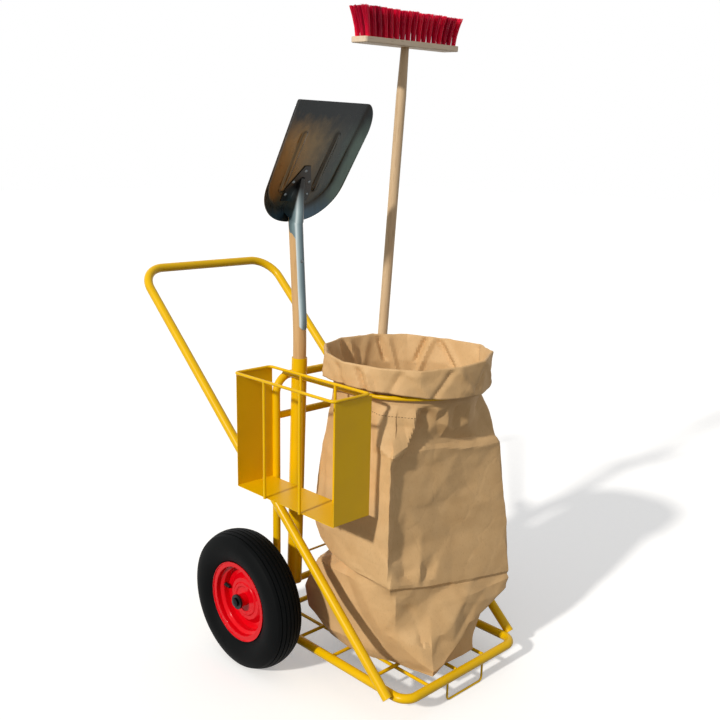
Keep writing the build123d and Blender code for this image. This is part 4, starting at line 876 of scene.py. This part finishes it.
def crease_sheet(sheet):
    """Push every point along its normal, by the creases that reach it, and soften the result."""
    sheet.normal_update()
    moves = []
    for vert in sheet.verts:
        place = vert.co / MM
        out = place.xy - sack_axis / MM
        angle = math.atan2(out.x, -out.y)
        body = smooth_step(place.z, sack_foot, sack_foot + FOOT_FADE)
        body *= 1 - smooth_step(place.z, *NECK_FADE)
        low = 1 - smooth_step(place.z, *LOW_FADE)
        past_hoop = smooth_step(place.z, *HOOP_FADE)
        below_hoop = smooth_step(place.z, *BELOW_HOOP_FADE) * (1 - past_hoop)
        mouth = past_hoop * (1 - smooth_step(place.z, *RIM_FADE))
        cuff = smooth_step(place.z, *HEM_FADE) * (1 - smooth_step(place.z, *CUFF_FADE))
        turned_down = place.z > HEM_FADE[0] and vert.normal.dot(Vector((*out.normalized(), 0.0))) < 0
        large = (PANEL_SHARE + (1 - PANEL_SHARE) * low) * crumple(place, CRUMPLE_FOLD, CRUMPLE_DEPTH)
        depth = body * (crease_depth(angle, place.z) + large)
        fine = CUFF_SHARE if turned_down else MOUTH_SHARE + (1 - MOUTH_SHARE) * body
        depth += fine * crumple(place, FINE_FOLD, FINE_DEPTH)
        if turned_down:
            depth -= cuff * leaning_depth(CUFF_CREASES, angle, place.z)
        elif mouth + below_hoop > 0:
            fold = leaning_depth(MOUTH_CREASES, angle, place.z)
            depth -= mouth * fold + below_hoop * max(0.0, fold)
        moves.append(vert.normal * depth * MM)
    for vert, move in zip(sheet.verts, moves):
        vert.co += move
    bmesh.ops.smooth_vert(sheet, verts=sheet.verts, factor=SOFTENING,
                          use_axis_x=True, use_axis_y=True, use_axis_z=True)
    print("deepest crease", round(max(move.length for move in moves) / MM, 1), "mm")


crease_sheet(sack_sheet)

# %% [markdown]
# ## Paper sack: thickness
# Sack paper is a few plies, less than a millimetre together. An inner wall could be modelled, but a
# Solidify modifier gives the sheet its thickness inward, so the creased side stays where it is. Edges that
# bend by more than 16 degrees are marked sharp, because paper shows a crease as a line. The sheet then
# rides on the frame.

# %% Paper sack: piece
PAPER_THICKNESS = 0.8
SHARP_FOLD = math.radians(16)


def make_piece(name, mesh, coat, body, replaced=()):
    """Scene object of a finished mesh, which rides on a body, in place of solids if it replaces any."""
    data = bpy.data.meshes.new(name)
    mesh.to_mesh(data)
    mesh.free()
    data.shade_smooth()
    data.set_sharp_from_angle(angle=SHARP_FOLD)
    data.materials.append(finish[coat])
    piece = bpy.data.objects.new(name, data)
    bpy.context.scene.collection.objects.link(piece)
    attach(piece, body)
    if replaced:
        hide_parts(*replaced)
    return piece


sack = make_piece("sack", sack_sheet, "kraft_paper", "frame", ["paper_sack"])
ply = sack.modifiers.new("paper", "SOLIDIFY")
ply.thickness = PAPER_THICKNESS * MM
ply.offset = -1.0
print("sack", len(sack.data.polygons), "faces")

# %% [markdown]
# ## Paper sack: stitches
# The sack's mouth was once sewn shut, and the row of thread is still in the left corner. A stitch is a
# short thread lying on the paper, so each one is a small bevelled box, turned along the row. A ray cast from
# outside finds the paper, which the creases have moved, so that no stitch floats or sinks.

# %% Paper sack: stitches
STITCH_TURNS = (-72.0, -40.0)
STITCH_LEVELS = (788.0, 781.0)
STITCH_COUNT = 15
STITCH_LENGTH = 5.0
STITCH_WIDTH = 1.4
STITCH_ROUND = 0.3
CAST_FROM = 400.0


def cotton_thread():
    material, tree, shader, place = new_finish("brown cotton thread")
    _, tone = mottled(tree, place, 1.2, 2.0, "4f3820", "7a5b38")
    fill(tree, shader, {"Base Color": tone, "Roughness": 0.8, "IOR": 1.45})
    return material


finish["thread"] = cotton_thread()
paper = BVHTree.FromObject(sack, bpy.context.evaluated_depsgraph_get())
stitch_row = bmesh.new()
for stitch in range(STITCH_COUNT):
    share = stitch / (STITCH_COUNT - 1)
    angle = math.radians(STITCH_TURNS[0] + (STITCH_TURNS[1] - STITCH_TURNS[0]) * share)
    level = STITCH_LEVELS[0] + (STITCH_LEVELS[1] - STITCH_LEVELS[0]) * share
    start = on_circle(angle, CAST_FROM, level) * MM
    inward = (on_circle(angle, 0.0, level) * MM - start).normalized()
    spot, normal, _, _ = paper.ray_cast(start, inward)
    along = Vector((0, 0, 1)).cross(normal).normalized()
    turn = Matrix((along, normal.cross(along), normal)).transposed().to_4x4()
    size = Matrix.Diagonal((STITCH_LENGTH * MM, STITCH_WIDTH * MM, STITCH_WIDTH * MM, 1.0))
    bmesh.ops.create_cube(stitch_row, size=1.0, matrix=Matrix.Translation(spot) @ turn @ size)
bmesh.ops.bevel(stitch_row, geom=stitch_row.edges[:], offset=STITCH_ROUND * STITCH_WIDTH * MM, segments=1,
                profile=0.5, affect="EDGES", material=-1)
make_piece("stitches", stitch_row, "thread", "frame")
print("stitches", STITCH_COUNT)

# %% [markdown]
# ## Shovel blade
# The blade is pressed from one sheet: a flat floor, walls that flare outward and run down in a quarter of an
# ellipse to the cutting edge, a soft bend between them, and two ribs that stiffen the floor. Seen square on,
# it is a height over its floor, so a grid is drawn to the rim's outline and every point is lifted: by the
# wall's slope beyond the floor's edge, and by the ribs within it. A loft would need its ribs cut in later.

# %% Shovel blade: place
BLADE_LEAN = math.radians(33.7)
BLADE_SHEET = 1.8
WALL_HEIGHT = 28.0
WALL_FLARE = math.tan(math.radians(44))

blade_low, blade_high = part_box("shovel_blade")
blade_root = Vector((
    (blade_low.x + blade_high.x) / 2,
    blade_high.y - BLADE_SHEET * math.cos(BLADE_LEAN) * MM,
    blade_low.z + (WALL_HEIGHT * WALL_FLARE * math.cos(BLADE_LEAN)
                   + (WALL_HEIGHT - BLADE_SHEET) * math.sin(BLADE_LEAN)) * MM,
))
blade_turn = Matrix.Rotation(BLADE_LEAN + math.pi / 2, 4, "X")
blade_place = Matrix.Translation(blade_root) @ blade_turn
print("blade root", [round(x / MM, 1) for x in blade_root], "mm")

# %% Shovel blade: outline
BLADE_LENGTH = 313.0
BLADE_REAR_HALF = 101.5
BLADE_EDGE_HALF = 118.5
SHOULDER_RADIUS = 90.0
CORNER_LENGTH = 79.0
CORNER_HEIGHT = 22.5


def floor_half(reach):
    """Half width of the hollow floor, where its sides are straight."""
    return BLADE_REAR_HALF + (BLADE_EDGE_HALF - BLADE_REAR_HALF) * reach / BLADE_LENGTH - BLADE_SHEET


def wall_spread(reach):
    """How far the rim stands outside the floor at a reach from the root."""
    turn = BLADE_LENGTH - CORNER_LENGTH
    if reach > turn:
        height = CORNER_HEIGHT * math.sqrt(max(0.0, 1 - ((reach - turn) / CORNER_LENGTH) ** 2))
    else:
        height = CORNER_HEIGHT + (WALL_HEIGHT - CORNER_HEIGHT) * (turn - reach) / (turn + 2 * WALL_HEIGHT)
    return max(0.0, height - BLADE_SHEET) * WALL_FLARE


print("floor half width at the edge", round(floor_half(BLADE_LENGTH), 1), "mm")

# %% Shovel blade: lift
PRESS_ROUND = 5.0
RIB_PLACE = 54.0
RIB_START, RIB_END = 63.0, 223.0
RIB_HALF = 11.0
RIB_TOP = 2.5
RIB_RISE = 5.0
BEND_SHADE = 0.75
BEND_REACH = 1.6

inner_round = SHOULDER_RADIUS - BLADE_SHEET
round_middle = floor_half(SHOULDER_RADIUS) - inner_round


def blade_lift(across, reach):
    """Height of the hollow face over the floor's plane, and the painted shade along its bends and ribs."""
    side = abs(across)
    if reach > SHOULDER_RADIUS:
        beyond = side - floor_half(reach)
    elif side > round_middle:
        beyond = math.hypot(side - round_middle, SHOULDER_RADIUS - reach) - inner_round
    else:
        beyond = SHOULDER_RADIUS - reach - inner_round
    bend = min(max(beyond + PRESS_ROUND, 0.0), 2 * PRESS_ROUND)
    wall = (bend * bend / (4 * PRESS_ROUND) + max(0.0, beyond - PRESS_ROUND)) / WALL_FLARE
    past = max(RIB_START - reach, reach - RIB_END, 0.0)
    rib = 1 - smooth_step(math.hypot(side - RIB_PLACE, past), RIB_TOP, RIB_HALF)
    # Painted shade for the bends and the rib flanks.
    crease = max(4 * rib * (1 - rib), tent(beyond, BEND_REACH * PRESS_ROUND))
    return wall + RIB_RISE * rib, BEND_SHADE * crease


print("rib", round(blade_lift(RIB_PLACE, RIB_START)[0], 1), "mm over the floor")

# %% Shovel blade: piece
BLADE_COLUMNS = 96
BLADE_ROWS = 110
ROUND_SHARE = 0.32
EDGE_CROWDING = 1.6

blade_mesh = bmesh.new()
bmesh.ops.create_grid(blade_mesh, x_segments=BLADE_COLUMNS, y_segments=BLADE_ROWS, size=1.0)
# Each point keeps the painted shade of its bend and ribs.
bend_shade_layer = blade_mesh.verts.layers.float.new("painted_bend_shade")
rim_round = inner_round + wall_spread(0.0)
rim_middle = floor_half(SHOULDER_RADIUS) + wall_spread(SHOULDER_RADIUS) - rim_round
for vert in blade_mesh.verts:
    share = (vert.co.y + 1) / 2
    if share < ROUND_SHARE:
        swing = math.pi / 2 * share / ROUND_SHARE
        reach = SHOULDER_RADIUS - rim_round * math.cos(swing)
        half = rim_middle + rim_round * math.sin(swing)
    else:
        run = 1 - (1 - (share - ROUND_SHARE) / (1 - ROUND_SHARE)) ** EDGE_CROWDING
        reach = SHOULDER_RADIUS + (BLADE_LENGTH - SHOULDER_RADIUS) * run
        half = floor_half(reach) + wall_spread(reach)
    across = vert.co.x * half
    lift, vert[bend_shade_layer] = blade_lift(across, reach)
    vert.co = blade_place @ (Vector((across, reach, lift)) * MM)
bmesh.ops.recalc_face_normals(blade_mesh, faces=blade_mesh.faces)
blade = make_piece("blade", blade_mesh, "dark_steel", "shovel", ["shovel_blade"])
steel = blade.modifiers.new("sheet", "SOLIDIFY")
steel.thickness = BLADE_SHEET * MM
blade_faces_out = blade.data.polygons[0].normal.dot(blade_turn.to_3x3() @ Vector((0, 0, 1))) > 0
steel.offset = -1.0 if blade_faces_out else 1.0
print("blade", len(blade.data.polygons), "faces")

# %% [markdown]
# ## Broom bristles
# Bristles are set into the block in tufts: each hole holds a few dozen strands, packed at the block and
# spread at the tips, and the outer tufts lean outward. A hair system would give strands too, but no mesh.
# Here a grid is cut into single faces, one for each strand. Each face is put at its root and extruded along
# the strand's bend, all strands at once, a few steps up. The strands are twice as thick as real ones, so
# that they show.

# %% Broom bristles: directions of the brush
STICK_DIAMETER = 25.0
BLOCK_TURN = math.radians(3.9)
BLOCK_RISE = math.radians(1.5)
BLOCK_HEIGHT = 17.0
ROOT_DEPTH = 2.0

stick_low, stick_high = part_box("broom_stick")
stick_run = (stick_high - stick_low) / MM - Vector((STICK_DIAMETER, STICK_DIAMETER, 0))
broom_axis = Vector((stick_run.x, -stick_run.y, stick_run.z)).normalized()
block_low, block_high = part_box("broom_block")
brush_along = Vector((
    math.cos(BLOCK_TURN) * math.cos(BLOCK_RISE),
    math.sin(BLOCK_TURN) * math.cos(BLOCK_RISE),
    math.sin(BLOCK_RISE),
))
brush_up = (broom_axis - brush_along * broom_axis.dot(brush_along)).normalized()
brush_side = brush_along.cross(brush_up)
brush_root = (block_low + block_high) / 2 / MM + brush_up * (BLOCK_HEIGHT / 2 - ROOT_DEPTH)
print("brush root", [round(x, 1) for x in brush_root], "mm")

# %% Broom bristles: where the strands go
TUFT_COLUMNS = 17
TUFT_ROWS = 3
TUFT_STRANDS = 60
COLUMN_PITCH = 22.8
ROW_PITCH = 18.0
TUFT_RADIUS = 5.7
TUFT_SPREAD = 1.8
STRAND_LENGTH = 74.0
END_LEAN = 19.0
SIDE_LEAN = 2.5
TUFT_WANDER = 4
TUFT_SIDE_WANDER = 2
STRAND_WANDER = 1.5
CUT_SHORT, CUT_LONG = -1.5, 1.0
TONE_WANDER = 0.3
GOLDEN_TURN = math.pi * (3 - math.sqrt(5))

half_length = (TUFT_COLUMNS - 1) / 2 * COLUMN_PITCH
rng = random.Random(8)
strands = []
for column in range(TUFT_COLUMNS):
    for row in range(TUFT_ROWS):
        along = column * COLUMN_PITCH - half_length
        aside = (row - (TUFT_ROWS - 1) / 2) * ROW_PITCH
        lean = Vector((END_LEAN * along / half_length + rng.uniform(-TUFT_WANDER, TUFT_WANDER),
                       SIDE_LEAN * aside / ROW_PITCH + rng.uniform(-TUFT_SIDE_WANDER, TUFT_SIDE_WANDER)))
        length = STRAND_LENGTH + rng.uniform(CUT_SHORT, CUT_LONG)
        tone = rng.random()
        for strand in range(TUFT_STRANDS):
            out = TUFT_RADIUS * math.sqrt((strand + 0.5) / TUFT_STRANDS)
            place = Vector((math.cos(strand * GOLDEN_TURN), math.sin(strand * GOLDEN_TURN))) * out
            stray = Vector([rng.uniform(-STRAND_WANDER, STRAND_WANDER) for _ in range(2)])
            tip = lean + place * (TUFT_SPREAD - 1) + stray
            own_tone = min(max(tone + rng.uniform(-TONE_WANDER, TONE_WANDER), 0.0), 1.0)
            own_length = length + rng.uniform(CUT_SHORT, CUT_LONG)
            strands.append((Vector((along, aside)) + place, tip, own_length, own_tone))
print("strands", len(strands), "in", TUFT_COLUMNS * TUFT_ROWS, "tufts")

# %% Broom bristles: piece
STRAND_HALF = 0.55
STRAND_STEPS = 3
STRAND_BOW = 1.5
STRAND_TAPER = 0.25


def strand_point(strand, share, corner):
    """A corner of a strand's square section, at a share of its length."""
    root, tip, length, _ = strand
    flat = root + tip * share ** STRAND_BOW + Vector(corner) * STRAND_HALF * (1 - STRAND_TAPER * share)
    return (brush_root + brush_along * flat.x + brush_side * flat.y + brush_up * length * share) * MM


SECTION = [(-1, -1), (1, -1), (1, 1), (-1, 1)]
brush = bmesh.new()
bmesh.ops.create_grid(brush, x_segments=TUFT_COLUMNS * TUFT_ROWS, y_segments=TUFT_STRANDS, size=1.0)
bmesh.ops.split_edges(brush, edges=brush.edges)
tones = brush.verts.layers.float.new("strand_tone")
numbers = brush.faces.layers.int.new("strand_number")
for number, face in enumerate(brush.faces):
    face[numbers] = number
    for vert, corner in zip(face.verts, SECTION):
        vert[tones] = strands[number][3]
        vert.co = strand_point(strands[number], 0.0, corner)
tops = brush.faces[:]
for step in range(STRAND_STEPS):
    tops = bmesh.ops.extrude_discrete_faces(brush, faces=tops)["faces"]
    for face in tops:
        for vert, corner in zip(face.verts, SECTION):
            vert.co = strand_point(strands[face[numbers]], (step + 1) / STRAND_STEPS, corner)
open_roots = [edge for edge in brush.edges if edge.is_boundary]
bmesh.ops.holes_fill(brush, edges=open_roots, sides=4)
bmesh.ops.recalc_face_normals(brush, faces=brush.faces)
bristles = make_piece("bristles", brush, "red_bristle", "broom", ["broom_bristles"])
print("bristles", len(bristles.data.polygons), "faces")
